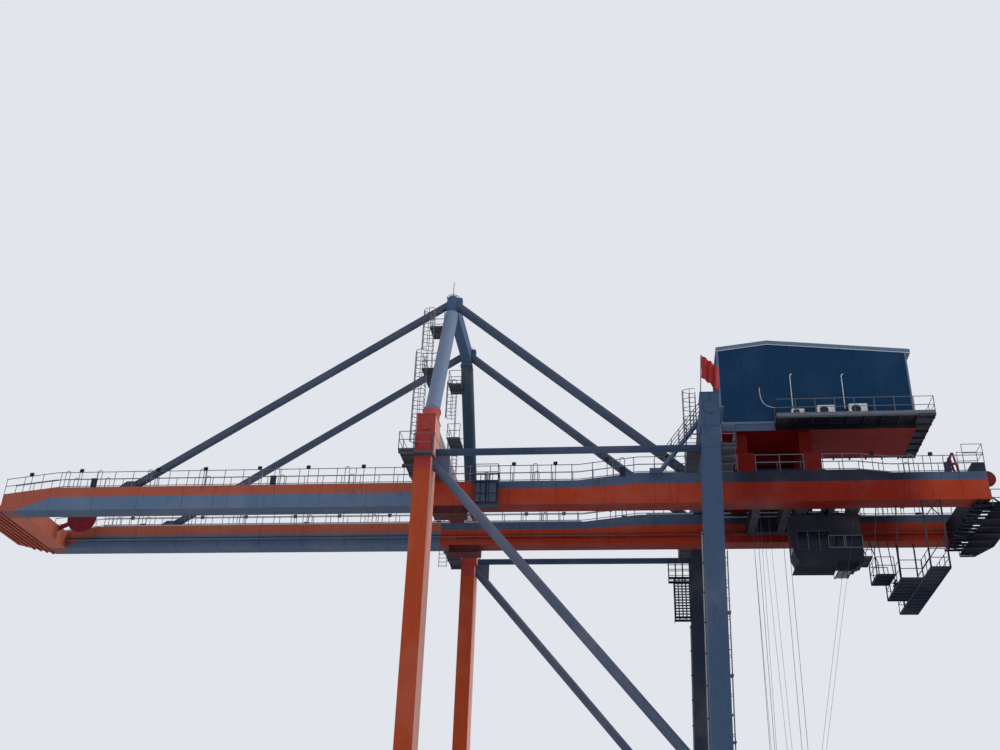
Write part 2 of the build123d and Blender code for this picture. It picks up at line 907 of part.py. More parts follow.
def house_handrails():
    """The railing on the outer edges of the gallery, with a post at each pitch."""
    outer = house_half_width + walkway_width - handrail_bar
    end = house_end + walkway_width - handrail_bar
    rail = handrail_bar + fit_gap
    solids = []
    for level in (handrail_height / 2, handrail_height - handrail_bar):
        z = (house_base + level, house_base + level + handrail_bar)
        for side in both_sides:
            y = (side * (outer - rail), side * (outer - fit_gap))
            solids.append(block((walkway_start, end - rail - fit_gap), y, z))
        solids.append(block((end - rail, end - fit_gap), (-(outer - fit_gap), outer - fit_gap), z))
    posts_z = (house_base, house_base + handrail_height)
    long_count = round((end - walkway_start) / handrail_pitch)
    for step in range(long_count + 1):
        x = walkway_start + (end - walkway_start) * step / long_count
        for side in both_sides:
            y = (side * outer, side * (outer + handrail_bar))
            solids.append(block((x, x + handrail_bar), y, posts_z))
    short_count = round(2 * outer / handrail_pitch)
    for step in range(1, short_count):
        y = -outer + 2 * outer * step / short_count
        solids.append(block((end, end + handrail_bar), (y, y + handrail_bar), posts_z))
    return Compound(children=solids)


def air_conditioner(x, length, height):
    """One outdoor unit on the gallery, a little off the wall."""
    near = -(house_half_width + unit_wall_gap)
    z = (house_base, house_base + height)
    return block((x - length / 2, x + length / 2), (near - unit_depth, near), z)


def waterside_gallery(side):
    """A walkway from the waterside leg's outer face in to the girder, and a shelf before the leg."""
    low = gallery_top - gallery_deck
    x = (-waterside_leg_face - waterside_gallery_width, -waterside_leg_face)
    inner = girder_outer + gallery_inner_gap
    deck = block(x, (side * gallery_outer_y, side * inner), (low, gallery_top))
    shelf_y = (side * leg_outer, side * (leg_outer + leg_shelf_depth))
    shelf_x = (-waterside_leg_face, waterside_head_face)
    shelf = block(shelf_x, shelf_y, (waterside_head_bottom - gallery_deck, waterside_head_bottom))
    return Compound(children=[deck, shelf])


def landside_gallery(side):
    """A walkway on each face of the landside leg, leading inwards."""
    low = gallery_top - gallery_deck
    z = (low, gallery_top)
    faces = landside_leg_x(low)
    left_x = (faces[0] - landside_gallery_left_width, faces[0] - fit_gap)
    left_y = (side * landside_gallery_left_start_y, side * landside_gallery_left_end_y)
    right_x = (faces[1], faces[1] + landside_gallery_right_width)
    right_y = (side * gallery_outer_y, side * landside_gallery_right_end_y)
    right = block(right_x, right_y, z) - landside_leg(side)
    return Compound(children=[block(left_x, left_y, z), right])


def ladder(x, y, z):
    """A ladder that faces along X: two side rails with rungs between them."""
    half = ladder_width / 2
    solids = []
    for side in both_sides:
        rail_y = (y + side * half, y + side * (half - ladder_rail))
        solids.append(block((x - ladder_rail, x + ladder_rail), rail_y, z))
    rung_half = half - ladder_rail - fit_gap
    count = int((z[1] - z[0]) // rung_pitch)
    for step in range(1, count + 1):
        rung_z = z[0] + step * rung_pitch
        rung_y = (y - rung_half, y + rung_half)
        solids.append(block((x - rung_size, x + rung_size), rung_y, (rung_z - rung_size * 2, rung_z)))
    return solids


def post_ladders(side):
    """Flights of ladder up a leaning post, each from the landing below it."""
    solids = []
    foot = gallery_top
    for flight_y, top in zip(flights_y, landing_tops):
        solids += ladder(post_ladder_x, side * flight_y, (foot, top + ladder_above_deck))
        foot = top
    return Compound(children=solids)


def post_landing(side, flight_y, inner_y, top):
    """A landing from a ladder's edge inwards, notched round the leaning post."""
    outer = flight_y - ladder_width / 2 - fit_gap
    x = (landing_back - landing_width, landing_back)
    deck = block(x, (side * outer, side * inner_y), (top - landing_thickness, top))
    return deck - a_frame_post(side)


def house_stair():
    """A steep flight outside the near girder, from a foot deck up to a landing and a balcony."""
    near = -girder_outer - stair_width
    rise = house_base - back_top
    run = stair_head_x - stair_foot_x
    count = round(rise / stair_rise)
    treads_y = (near + stair_plate + fit_gap, -girder_outer - stair_plate - fit_gap)
    foot_deck_x = (stair_foot_x - stair_foot_deck, stair_foot_x + stair_stringer)
    solids = [block(foot_deck_x, (near, -girder_outer), (back_top - gallery_deck, back_top))]
    for step in range(1, count):
        z = back_top + rise * step / count
        x = stair_foot_x + run * step / count
        solids.append(block((x, x + stair_tread), treads_y, (z - stair_plate, z)))
    outline = [
        (stair_foot_x, back_top),
        (stair_foot_x + stair_stringer, back_top),
        (stair_head_x + stair_stringer, house_base),
        (stair_head_x, house_base),
    ]
    for stringer_y in (near, -girder_outer - stair_plate):
        solids.append(side_profile(outline, (stringer_y, stringer_y + stair_plate)))
    deck_z = (house_base - gallery_deck, house_base)
    landing = block((stair_head_x + stair_stringer, house_start), (near, -girder_outer), deck_z)
    balcony = block((house_start - balcony_depth, house_start), (-girder_outer, house_half_width), deck_z)
    solids.append(landing + balcony)
    return Compound(children=solids)


def hung_platforms():
    """A gangway across under both girders, with two lower decks beside it and its hangers."""
    low = gangway_top - gangway_thickness
    gangway = block((gangway_start, gangway_end), (-girder_outer, gangway_far_end), (low, gangway_top))
    side_y = (-side_deck_half_width, side_deck_half_width)
    gangway += block((side_deck_start, gangway_start), side_y, (low, gangway_top))
    near_x = ((gangway_start, gangway_start + hanger_post), (gangway_end - hanger_post, gangway_end))
    for x in near_x:
        post = block(x, (-girder_outer, -girder_outer - hanger_post), (low, girder_bottom + hanger_lap))
        far_post = block(x, (girder_outer, girder_outer - hanger_post), (gangway_top, girder_bottom))
        gangway += post + far_post
    step_y = (-step_deck_half_width, step_deck_half_width)
    step_low = step_deck_top - gangway_thickness
    step_deck = block((step_deck_start, side_deck_start), step_y, (step_low, step_deck_top))
    riser_x = (side_deck_start - step_riser_thickness, side_deck_start)
    riser = block(riser_x, (-step_riser_half_width, step_riser_half_width), (low, step_deck_top))
    return gangway + step_deck + riser


def station():
    """A floor and a cabinet that hang on the near girder's outer face."""
    face = -girder_outer
    outer = face - station_reach
    base = station_floor + gangway_thickness
    floor = block((station_start, station_end), (outer, face), (station_floor, base))
    cabinet_x = (station_start + cabinet_inset, station_end - cabinet_inset)
    cabinet = block(cabinet_x, (outer + cabinet_inset, face), (base, base + cabinet_height))
    return floor + cabinet


def pole_line(z):
    """The middle of the leaning flag pole at a height, as X."""
    return pole_x + pole_lean * (z - landside_leg_top) / pole_height


def flag_pole():
    """A thin pole on the near landside leg's top, leaning a little."""
    foot = (pole_x, pole_y, landside_leg_top)
    head = (pole_line(landside_leg_top + pole_height), pole_y, landside_leg_top + pole_height)
    pole = strut(foot, head, RegularPolygon(pole_radius, pin_sides))
    reach = leg_line + leg_depth
    return pole - block((-reach, reach * 2), (-reach, reach), (sill_bottom, landside_leg_top))


def flag():
    """A sheet that hangs from its pole, its free edge fallen."""
    high = landside_leg_top + pole_height - flag_head_gap
    low = high - flag_hoist
    edge = pole_radius + flag_gap
    free_x = pole_line(high) + flag_length
    outline = [
        (pole_line(high) + edge, high),
        (free_x, high - flag_drop),
        (free_x, low - flag_drop - flag_fall),
        (pole_line(low) + edge, low),
    ]
    return side_profile(outline, (pole_y - flag_thickness / 2, pole_y + flag_thickness / 2))


def trolley_frame():
    """A rectangular frame of box beams between the rails, with a cross beam over each pair of ropes."""
    half = rail_line - trolley_wheel_width / 2 - trolley_side_gap
    top = trolley_bottom + trolley_depth
    frame = block((trolley_start, trolley_end), (-half, half), (trolley_bottom, top))
    inner_beam = lift_centre + rope_half_spacing_x
    inside = (-half + trolley_beam, half - trolley_beam)
    beams = [
        (trolley_start, trolley_start + trolley_beam),
        (inner_beam - trolley_beam / 2, inner_beam + trolley_beam / 2),
        (cab_end - cab_carrier_width, cab_end),
        (trolley_end - trolley_beam, trolley_end),
    ]
    for before, after in zip(beams, beams[1:]):
        frame -= block((before[1], after[0]), inside, (trolley_bottom, top))
    return frame


def trolley_wheel(x, side):
    """A wheel on its stub axle, seated against the side of the trolley frame."""
    frame_side = rail_line - trolley_wheel_width / 2 - trolley_side_gap
    z = rail_top + rail_clearance + trolley_wheel_radius
    inner = rail_line - trolley_wheel_width / 2
    outer = rail_line + trolley_wheel_width / 2
    wheel = rod_along_y(trolley_wheel_radius, x, (side * inner, side * outer), z, wheel_sides)
    return wheel + rod_along_y(axle_radius, x, (side * frame_side, side * outer), z, pin_sides)


def cab_outline(inset):
    """The cab's side outline, with its front sloping in to the floor."""
    top = trolley_bottom - inset
    return [
        (cab_start + inset, top),
        (cab_start + inset, cab_bottom + cab_front_slope),
        (cab_start + cab_front_step + inset, cab_bottom + inset),
        (cab_end - inset, cab_bottom + inset),
        (cab_end - inset, top),
    ]


def operator_cab():
    """A thin-walled cab with window openings on three sides."""
    shell = side_profile(cab_outline(0), (-cab_half_width, cab_half_width))
    shell -= side_profile(cab_outline(cab_wall), (-cab_half_width + cab_wall, cab_half_width - cab_wall))
    low = cab_bottom + cab_sill_height
    high = low + cab_window_height
    windows_x = (cab_start + cab_corner_post, cab_end - cab_corner_post)
    shell -= block(windows_x, (-cab_half_width, cab_half_width), (low, high))
    half = cab_half_width - cab_front_post
    shell -= block((cab_start, cab_start + cab_wall), (-half, half), (low, high))
    return shell


def hoist_rope(x, y):
    """One taut fall of rope from a cross beam of the trolley down to the headblock."""
    return rod_along_z(rope_radius, x, y, (headblock_bottom + headblock_height, trolley_bottom), pin_sides)


def headblock():
    """The block that the ropes carry, with two pins down to the spreader."""
    x = (lift_centre - headblock_width / 2, lift_centre + headblock_width / 2)
    y = (-headblock_length / 2, headblock_length / 2)
    body = block(x, y, (headblock_bottom, headblock_bottom + headblock_height))
    half_pin = hanging_pin / 2
    for side in both_sides:
        pin_y = side * rope_half_spacing_y
        pin_x = (lift_centre - half_pin, lift_centre + half_pin)
        body += block(pin_x, (pin_y - half_pin, pin_y + half_pin), (spreader_top, headblock_bottom))
    return body


def spreader_corners():
    """The centre of each twistlock, as X and Y."""
    half_x = spreader_width / 2 - twistlock_inset_x
    half_y = spreader_length / 2 - twistlock_inset_y
    return [(lift_centre + sx * half_x, sy * half_y) for sx in both_sides for sy in both_sides]


def spreader():
    """The container frame, long along the rail, with a twistlock under each corner."""
    half_x = spreader_width / 2
    half_y = spreader_length / 2
    low = spreader_top - spreader_height
    x = (lift_centre - half_x, lift_centre + half_x)
    frame = block(x, (-half_y, half_y), (low, spreader_top))
    for side in both_sides:
        well = (side * headblock_length / 2, side * (half_y - spreader_beam))
        inner = (x[0] + spreader_beam, x[1] - spreader_beam)
        frame -= block(inner, well, (low, spreader_top))
    for corner_x, corner_y in spreader_corners():
        frame += rod_along_z(twistlock_radius, corner_x, corner_y, (low - twistlock_drop, low))
    return frame


os.makedirs("parts", exist_ok=True)

apex = apex_beam()
landside_beam = landside_cross_beam()
side_names = {-1: "left", 1: "right"}
landside_hanger = landside_leg_middle(landside_cross_beam_top - landside_cross_beam_height / 2)
across_girders = [(x - hanger_length / 2, x + hanger_length / 2) for x in (0.0, landside_hanger)]
across_girders += [(x - trestle_beam_width / 2, x + trestle_beam_width / 2) for x in trestle_positions]
for side, hand in side_names.items():
    save(f"waterside_leg_{hand}", waterside_leg(side))
    save(f"landside_leg_{hand}", landside_leg(side))
    save(f"a_frame_post_{hand}", a_frame_post(side))
    save(f"boom_girder_{hand}", boom_girder(side))
    save(f"back_girder_{hand}", back_girder(side))
    save(f"girder_outer_handrail_{hand}", handrail(side * girder_outer, -side, across_girders))
    save(f"girder_inner_handrail_{hand}", handrail(side * girder_inner, side, across_girders))

save("waterside_sill_beam", sill_beam(0.0))
save("landside_sill_beam", sill_beam(rail_gauge))
rails = (0.0, rail_gauge)
save("equaliser_beams", *[equaliser(x, side * leg_line) for x in rails for side in both_sides])
save("bogie_frames", *[bogie(x, y) for x, y in bogie_places()])
wheel_steps = [side * wheel_pitch / 2 for side in both_sides]
save("rail_wheels", *[rail_wheel(x, y + step) for x, y in bogie_places() for step in wheel_steps])
save("end_buffers", *[buffer(x, side) for x in rails for side in both_sides])
save("portal_beams", *[portal_beam(side) for side in both_sides])
save("tie_pipes", *[tie_pipe(side) for side in both_sides])
save("diagonal_pipes", *[diagonal_pipe(side) for side in both_sides])
waterside_beam = cross_beam(0.0, waterside_cross_beam_top, waterside_cross_beam_height, boom_top)
save("waterside_cross_beam", waterside_beam)
save("landside_cross_beam", landside_beam)
save("apex_beam", apex)
save("fore_stays", *[fore_stay(side) for side in both_sides])
save("back_stays", *[back_stay(side) for side in both_sides])
save("stay_brackets", *[stay_bracket(side) for side in both_sides])
save("girder_seats", *[girder_seat(side) for side in both_sides])
save("trolley_rails", *[trolley_rail(side) for side in both_sides])
save("boom_end_beam", boom_end_beam())
save("nose_platform", nose_platform())
save("back_end_beam", back_end_beam())
save("end_platform", end_platform())
save("raised_deck", raised_deck())
save("end_sheaves", tip_sheave(), *[end_sheave(side) for side in both_sides])
save("machinery_house", machinery_house())
save("house_roof", house_roof())
save("house_frame", house_frame())
save("house_trestles", *[house_trestle(x) for x in trestle_positions])
save("house_walkway", house_walkway())
save("house_handrails", house_handrails())
units = zip(unit_positions, unit_lengths, unit_heights)
save("air_conditioners", *[air_conditioner(*unit) for unit in units])
save("waterside_galleries", *[waterside_gallery(side) for side in both_sides])
save("landside_galleries", *[landside_gallery(side) for side in both_sides])
save("post_ladders", *[post_ladders(side) for side in both_sides])
landings = list(zip(flights_y, landing_ends, landing_tops))
save("post_landings", *[post_landing(side, *landing) for side in both_sides for landing in landings])
save("house_stair", house_stair())
save("hung_platforms", hung_platforms())
save("electrical_station", station())
save("flag_pole", flag_pole())
save("flag", flag())
save("trolley_frame", trolley_frame())
wheel_places = (trolley_start + trolley_wheel_inset, trolley_end - trolley_wheel_inset)
save("trolley_wheels", *[trolley_wheel(x, side) for x in wheel_places for side in both_sides])
save("operator_cab", operator_cab())
rope_x = [lift_centre + side * rope_half_spacing_x for side in both_sides]
rope_y = [side * rope_half_spacing_y for side in both_sides]
save("hoist_ropes", *[hoist_rope(x, y) for x in rope_x for y in rope_y])
save("headblock", headblock())
save("spreader", spreader())
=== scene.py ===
# %% [markdown]
# A rail-mounted quay crane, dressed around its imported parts.
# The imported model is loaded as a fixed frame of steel: legs, girders, pipes, house and trolley.
# This script never moves those parts. It paints them, replaces the plain ones with finer
# pieces and adds what is too small for them, such as gratings, cages, ribs and lamps.
# All lengths are metres of the 1:2 model, so a handrail of 1.1 m on the real crane is 0.55 here.

# %% Load the frame
import math
import bmesh
import bpy
from mathutils import Matrix, Vector


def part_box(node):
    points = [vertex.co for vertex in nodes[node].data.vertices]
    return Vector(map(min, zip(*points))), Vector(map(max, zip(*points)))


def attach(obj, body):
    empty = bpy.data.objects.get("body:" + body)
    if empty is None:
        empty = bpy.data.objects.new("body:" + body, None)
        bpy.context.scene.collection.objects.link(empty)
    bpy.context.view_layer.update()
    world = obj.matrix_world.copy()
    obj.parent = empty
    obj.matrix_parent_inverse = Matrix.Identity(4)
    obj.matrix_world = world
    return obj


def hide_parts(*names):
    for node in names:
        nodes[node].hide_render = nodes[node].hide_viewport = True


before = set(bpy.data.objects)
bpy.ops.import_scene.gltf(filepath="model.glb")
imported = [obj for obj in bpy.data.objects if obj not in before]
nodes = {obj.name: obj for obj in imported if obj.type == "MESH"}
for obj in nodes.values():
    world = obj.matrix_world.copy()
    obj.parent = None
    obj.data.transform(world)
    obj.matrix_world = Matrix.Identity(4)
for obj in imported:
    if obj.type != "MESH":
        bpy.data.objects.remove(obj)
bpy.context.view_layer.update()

# %% [markdown]
# The photograph was taken from the ground, close under the crane, with the camera tilted well up.
# A lens placed by numbers is surer than one placed by eye: its position, its three angles and its
# focal length were worked out from the crane's long straight edges, and are written here plainly.

# %% Camera
camera_place = Vector((5.3185, -34.8985, 0.85))
camera_pitch = math.radians(28.245)
camera_roll = math.radians(2.061)
camera_yaw = math.radians(-7.322)
camera_lens = 41.316
sensor_width = 36.0
far_clip = 500.0


def add_camera():
    """A camera that looks up at the crane, turned by yaw, then pitch, then roll."""
    forward = Vector((
        math.sin(camera_yaw) * math.cos(camera_pitch),
        math.cos(camera_yaw) * math.cos(camera_pitch),
        math.sin(camera_pitch),
    ))
    level = Vector((math.cos(camera_yaw), -math.sin(camera_yaw), 0.0))
    up = level.cross(forward)
    right = math.cos(camera_roll) * level + math.sin(camera_roll) * up
    above = -math.sin(camera_roll) * level + math.cos(camera_roll) * up
    data = bpy.data.cameras.new("photo_camera")
    data.lens = camera_lens
    data.sensor_width = sensor_width
    data.clip_end = far_clip
    camera = bpy.data.objects.new("photo_camera", data)
    bpy.context.scene.collection.objects.link(camera)
    turned = Matrix((right, above, -forward)).transposed()
    camera.matrix_world = Matrix.Translation(camera_place) @ turned.to_4x4()
    bpy.context.scene.camera = camera
    return camera


camera = add_camera()
bpy.context.scene.view_settings.view_transform = "Standard"
print("camera at", tuple(round(v, 3) for v in camera.location))

# %% [markdown]
# Maths between shader sockets is easiest to read as plain expressions. A small class wraps a
# socket, so that `1 - mask * 0.5` adds the Math nodes by itself. Every other node comes from one
# method that takes the node's type, its settings and the values or links of its sockets.

# %% Shader helpers
class Wire:
    """A socket of a material that Python's operators can work on."""

    def __init__(self, finish, socket):
        self.finish = finish
        self.socket = socket

    def maths(self, operation, *values):
        return self.finish.add("Math", {"operation": operation}, dict(enumerate(values)))

    def __add__(self, other):
        return self.maths("ADD", self, other)

    __radd__ = __add__

    def __mul__(self, other):
        return self.maths("MULTIPLY", self, other)

    __rmul__ = __mul__

    def __sub__(self, other):
        return self.maths("SUBTRACT", self, other)

    def __rsub__(self, other):
        return self.maths("SUBTRACT", other, self)

    def __truediv__(self, other):
        return self.maths("DIVIDE", self, other)


class Finish:
    """A material built node by node around one Principled shader."""

    def __init__(self, name):
        self.material = bpy.data.materials.new(name)
        self.material.use_nodes = True
        self.tree = self.material.node_tree
        self.shader = self.tree.nodes["Principled BSDF"]
        self.place = self.add("TexCoord", {}, {}, "Object")

    def fill(self, socket, value):
        """Links a wire to a socket, or writes a plain value in it."""
        if isinstance(value, Wire):
            self.tree.links.new(value.socket, socket)
        else:
            socket.default_value = value

    def add(self, kind, settings, values, output=0):
        """One node of a kind, its settings made first, then its sockets filled or linked."""
        node = self.tree.nodes.new("ShaderNode" + kind)
        for key, value in settings.items():
            setattr(node, key, value)
        for key, value in values.items():
            self.fill(node.inputs[key], value)
        return Wire(self, node.outputs[output])

    def set(self, **values):
        """Fills or links sockets of the shader; an underscore stands for a space."""
        for key, value in values.items():
            self.fill(self.shader.inputs[key.replace("_", " ")], value)

    def axis(self, name):
        """The object coordinate along one axis, in metres."""
        return self.add("SeparateXYZ", {}, {0: self.place}, name)

    def facing(self, name):
        """How far a face looks along one axis, from -1 to 1."""
        return self.add("SeparateXYZ", {}, {0: self.add("NewGeometry", {}, {}, "Normal")}, name)

    def scaled(self, x, y, z):
        """Object coordinates stretched by three numbers, for patterns that run one way."""
        return self.add("VectorMath", {"operation": "MULTIPLY"}, {0: self.place, 1: (x, y, z)})

    def noise(self, scale, detail=4.0, where=None, roughness=0.55):
        """Cloudy noise between 0 and 1."""
        values = {"Vector": where or self.place, "Scale": scale, "Detail": detail, "Roughness": roughness}
        return self.add("TexNoise", {}, values)

    def step(self, value, low, high):
        """0 below the low number, 1 above the high one, and smooth between them."""
        settings = {"interpolation_type": "SMOOTHSTEP"}
        return self.add("MapRange", settings, {"Value": value, "From Min": low, "From Max": high})

    def slope(self, value, ends, heights):
        """A straight line between two places and the heights over them, level beyond both."""
        values = {"Value": value, "From Min": ends[0], "From Max": ends[1]}
        return self.add("MapRange", {}, {**values, "To Min": heights[0], "To Max": heights[1]})

    def mix(self, mask, first, second):
        """The first colour where the mask is 0 and the second where it is 1."""
        return self.add("Mix", {"data_type": "RGBA"}, {0: mask, 6: first, 7: second}, 2)

    def bump(self, height, distance, strength=1.0):
        """Feeds a height in metres times distance to the shader's normal."""
        values = {"Height": height, "Distance": distance, "Strength": strength}
        self.set(Normal=self.add("Bump", {}, values, "Normal"))


def rgb(red, green, blue):
    """A colour written as it shows on a screen, from 0 to 255, as the linear colour shaders use."""
    linear = [((v / 255 + 0.055) / 1.055) ** 2.4 if v > 10 else v / 255 / 12.92 for v in (red, green, blue)]
    return (*linear, 1.0)


print("shader helpers ready")

# %% [markdown]
# Old marine paint is never one colour. The sun bleaches broad patches, rain draws thin streaks of
# dirt down the sides, and rust comes through in small spots. One function makes that ageing, so
# every painted finish here shares it and differs only in its colours and how far it has aged.

# %% Aged paint
rust_colour = rgb(92, 48, 30)
grime_colour = rgb(26, 26, 30)
patch_scale, speckle_scale, spot_scale, streak_scale = 0.55, 9.0, 26.0, 7.0
streak_stretch = 0.22
weld_pitch = 1.5
weld_width = 0.012
paint_gloss = 0.07
paint_depth = 0.002


def aged(finish, paint, dirt=0.5, rust=0.25, welds=False):
    """Bleaching, streaks, grime and rust over a paint colour, with a soft satin surface."""
    broad = finish.noise(patch_scale, 3.0)
    fine = finish.noise(speckle_scale, 6.0)
    streak_place = finish.scaled(streak_scale, streak_scale, streak_scale * streak_stretch)
    streaks = finish.noise(1.0, 5.0, streak_place, 0.7)
    faded_and_sunlit = finish.mix(finish.step(broad, 0.45, 0.75) * 0.06, paint, rgb(196, 184, 178))
    streaked = finish.mix(finish.step(streaks, 0.52, 0.8) * dirt * 0.7, faded_and_sunlit, grime_colour)
    mottled = finish.mix(finish.step(fine, 0.45, 0.8) * 0.12, streaked, rgb(30, 24, 24))
    spots = finish.step(finish.noise(spot_scale, 8.0, None, 0.68), 0.66, 0.74)
    rusty = finish.step(broad + fine * 0.4, 0.72, 0.86)
    rust_mask = spots * rusty * rust
    colour = finish.mix(rust_mask, mottled, rust_colour)
    height = fine * 0.4 + streaks * 0.2 - rust_mask
    if welds:
        along = finish.axis("X") / weld_pitch
        saw = along.maths("FRACT", along)
        near = finish.step(saw.maths("ABSOLUTE", saw - 0.5), 0.5 - weld_width, 0.5)
        colour = finish.mix(near * 0.45, colour, grime_colour)
        height = height + near * 0.8
    roughness = 0.5 + fine * 0.25 + rust_mask * 0.25
    finish.set(Base_Color=colour, Roughness=roughness, Specular_IOR_Level=paint_gloss)
    finish.bump(height, paint_depth, 0.5)
    return finish.material


print("aged paint ready")

# %% [markdown]
# The crane stands under an open sky. The camera sees a plain pale sky, while the light on the
# steel comes from a slightly weaker one, so that a paint renders about as it is written. One soft
# sun from the land side brightens the faces that point that way. The floor is a plain pale sheet,
# and it throws light up against the undersides, which are what a person on the ground sees most.

# %% Sky, sun and floor
sky_seen = rgb(226, 229, 236)
sky_light = (0.93, 0.96, 1.0, 1.0)
sky_strength = 0.78
sun_strength = 1.55
sun_from = Vector((0.86, 0.22, 0.62))
sun_angle = math.radians(14)
floor_half = 90.0

world = bpy.data.worlds.new("pale_sky")
bpy.context.scene.world = world
world.use_nodes = True
tree = world.node_tree
tree.nodes.clear()
light_path = tree.nodes.new("ShaderNodeLightPath")
seen = light_path.outputs["Is Camera Ray"]
for ray in ("Is Glossy Ray", "Is Transmission Ray"):
    either = tree.nodes.new("ShaderNodeMath")
    either.operation = "MAXIMUM"
    tree.links.new(seen, either.inputs[0])
    tree.links.new(light_path.outputs[ray], either.inputs[1])
    seen = either.outputs[0]
chosen = tree.nodes.new("ShaderNodeMixShader")
tree.links.new(seen, chosen.inputs[0])
for place, colour, strength in ((1, sky_light, sky_strength), (2, sky_seen, 1.0)):
    background = tree.nodes.new("ShaderNodeBackground")
    background.inputs["Color"].default_value = colour
    background.inputs["Strength"].default_value = strength
    tree.links.new(background.outputs[0], chosen.inputs[place])
world_out = tree.nodes.new("ShaderNodeOutputWorld")
tree.links.new(chosen.outputs[0], world_out.inputs[0])

bpy.ops.object.light_add(type="SUN", location=(0, 0, 0))
sun = bpy.context.object
sun.name = "soft_sun"
sun.data.energy = sun_strength
sun.data.angle = sun_angle
sun.rotation_euler = sun_from.to_track_quat("Z", "Y").to_euler()
print("sky and sun ready")

# %% [markdown]
# Pieces are made the way they would be by hand: a primitive is added in its place and shaped in
# edit mode. These few helpers keep that short. The steel was drawn in millimetres from the
# waterside legs' line, so `at` turns such a place into metres of this scene.

# %% Modelling helpers
drawing_shift = -0.65


def at(x, y, z):
    """A place from the steel's drawing, in millimetres, as metres of the scene."""
    return Vector((x / 1000 + drawing_shift, y / 1000, z / 1000))


def deselect():
    bpy.ops.object.select_all(action="DESELECT")


def settle(name):
    """Puts the active object's place into its mesh and names it."""
    piece = bpy.context.object
    bpy.ops.object.transform_apply(location=True, rotation=True, scale=True)
    piece.name = name
    return piece


def shape(step, **settings):
    """Runs one edit-mode operator on all of the active object's mesh."""
    bpy.ops.object.mode_set(mode="EDIT")
    bpy.ops.mesh.select_all(action="SELECT")
    step(**settings)
    bpy.ops.object.mode_set(mode="OBJECT")


def bar(low, high, bevel=0.0):
    """A beam or plate between two corners of the drawing, its edges eased."""
    deselect()
    low, high = at(*low), at(*high)
    bpy.ops.mesh.primitive_cube_add(size=1, location=(low + high) / 2, scale=high - low)
    piece = settle("bar")
    shape(bpy.ops.mesh.normals_make_consistent)
    if bevel:
        shape(bpy.ops.mesh.bevel, offset=bevel / 1000, segments=1, affect="EDGES")
    return piece


def block(x, y, low, high, half_x, half_y, bevel=0.0):
    """A bar that stands centred on a place, between two heights."""
    return bar((x - half_x, y - half_y, low), (x + half_x, y + half_y, high), bevel)


def twins(low, high, bevel=0.0):
    """Two equal bars, one on each side of the crane's middle."""
    (x0, y0, z0), (x1, y1, z1) = low, high
    return [bar((x0, -y1, z0), (x1, -y0, z1), bevel), bar(low, high, bevel)]


def drum(start, end, radius, sides=24, bevel=0.0, name="drum"):
    """A round piece between two places of the drawing, its rims eased."""
    deselect()
    start, end = at(*start), at(*end)
    turn = (end - start).to_track_quat("Z", "Y").to_euler()
    bpy.ops.mesh.primitive_cylinder_add(
        vertices=sides, radius=radius / 1000, depth=(end - start).length,
        location=(start + end) / 2, rotation=turn)
    piece = settle(name)
    if bevel:
        bpy.ops.object.modifier_add(type="BEVEL")
        rim = piece.modifiers[-1]
        rim.width = bevel / 1000
        rim.segments = 2
        rim.angle_limit = math.radians(50)
        bpy.ops.object.modifier_apply(modifier=rim.name)
    bpy.ops.object.shade_smooth_by_angle(angle=math.radians(40))
    return piece


def spread(piece, moves):
    """Repeats a piece's mesh at each move, a vector in millimetres or a matrix, in one mesh."""
    source = piece.data.copy()
    joined = bmesh.new()
    for move in moves:
        turn = move if isinstance(move, Matrix) else Matrix.Translation(Vector(move) / 1000)
        copy = source.copy()
        copy.transform(turn)
        joined.from_mesh(copy)
        bpy.data.meshes.remove(copy)
    joined.to_mesh(piece.data)
    joined.free()
    bpy.data.meshes.remove(source)
    return piece


def row(piece, step, count):
    """Repeats a piece at equal steps along one line."""
    return spread(piece, [[k * part for part in step] for k in range(count)])


def around(piece, place, count, axis):
    """Repeats a piece at equal turns round an axis through a place of the drawing."""
    hub = at(*place)
    there, back = Matrix.Translation(hub), Matrix.Translation(-hub)
    turns = [Matrix.Rotation(k * math.tau / count, 4, axis) for k in range(count)]
    return spread(piece, [there @ turn @ back for turn in turns])


def circle(centre, radius, count, across=0, up=2):
    """Places round a centre, in the plane of two axes; the last place is the first again."""
    places = []
    for k in range(count + 1):
        place = list(centre)
        place[across] += radius * math.cos(k * math.tau / count)
        place[up] += radius * math.sin(k * math.tau / count)
        places.append(tuple(place))
    return places


def two_sides(runs):
    """The same runs on both sides of the crane's middle."""
    return [[(x, side * y, z) for x, y, z in run] for side in (-1, 1) for run in runs]


def pipework(name, runs, radius, sides=6):
    """Bent round bars through lists of drawing places, made as one bevelled curve."""
    curve = bpy.data.curves.new(name, "CURVE")
    curve.dimensions = "3D"
    curve.bevel_depth = radius / 1000
    curve.bevel_resolution = max(0, (sides - 4) // 2)
    curve.use_fill_caps = True
    for run in runs:
        spline = curve.splines.new("POLY")
        spline.points.add(len(run) - 1)
        for point, place in zip(spline.points, run):
            point.co = (*at(*place), 1.0)
    piece = bpy.data.objects.new(name, curve)
    bpy.context.scene.collection.objects.link(piece)
    deselect()
    piece.select_set(True)
    bpy.context.view_layer.objects.active = piece
    bpy.ops.object.convert(target="MESH")
    bpy.ops.object.shade_smooth_by_angle(angle=math.radians(50))
    return bpy.context.object


def join(name, pieces):
    """Joins pieces in one object."""
    deselect()
    for piece in pieces:
        piece.select_set(True)
    bpy.context.view_layer.objects.active = pieces[0]
    bpy.ops.object.join()
    pieces[0].name = name
    return pieces[0]


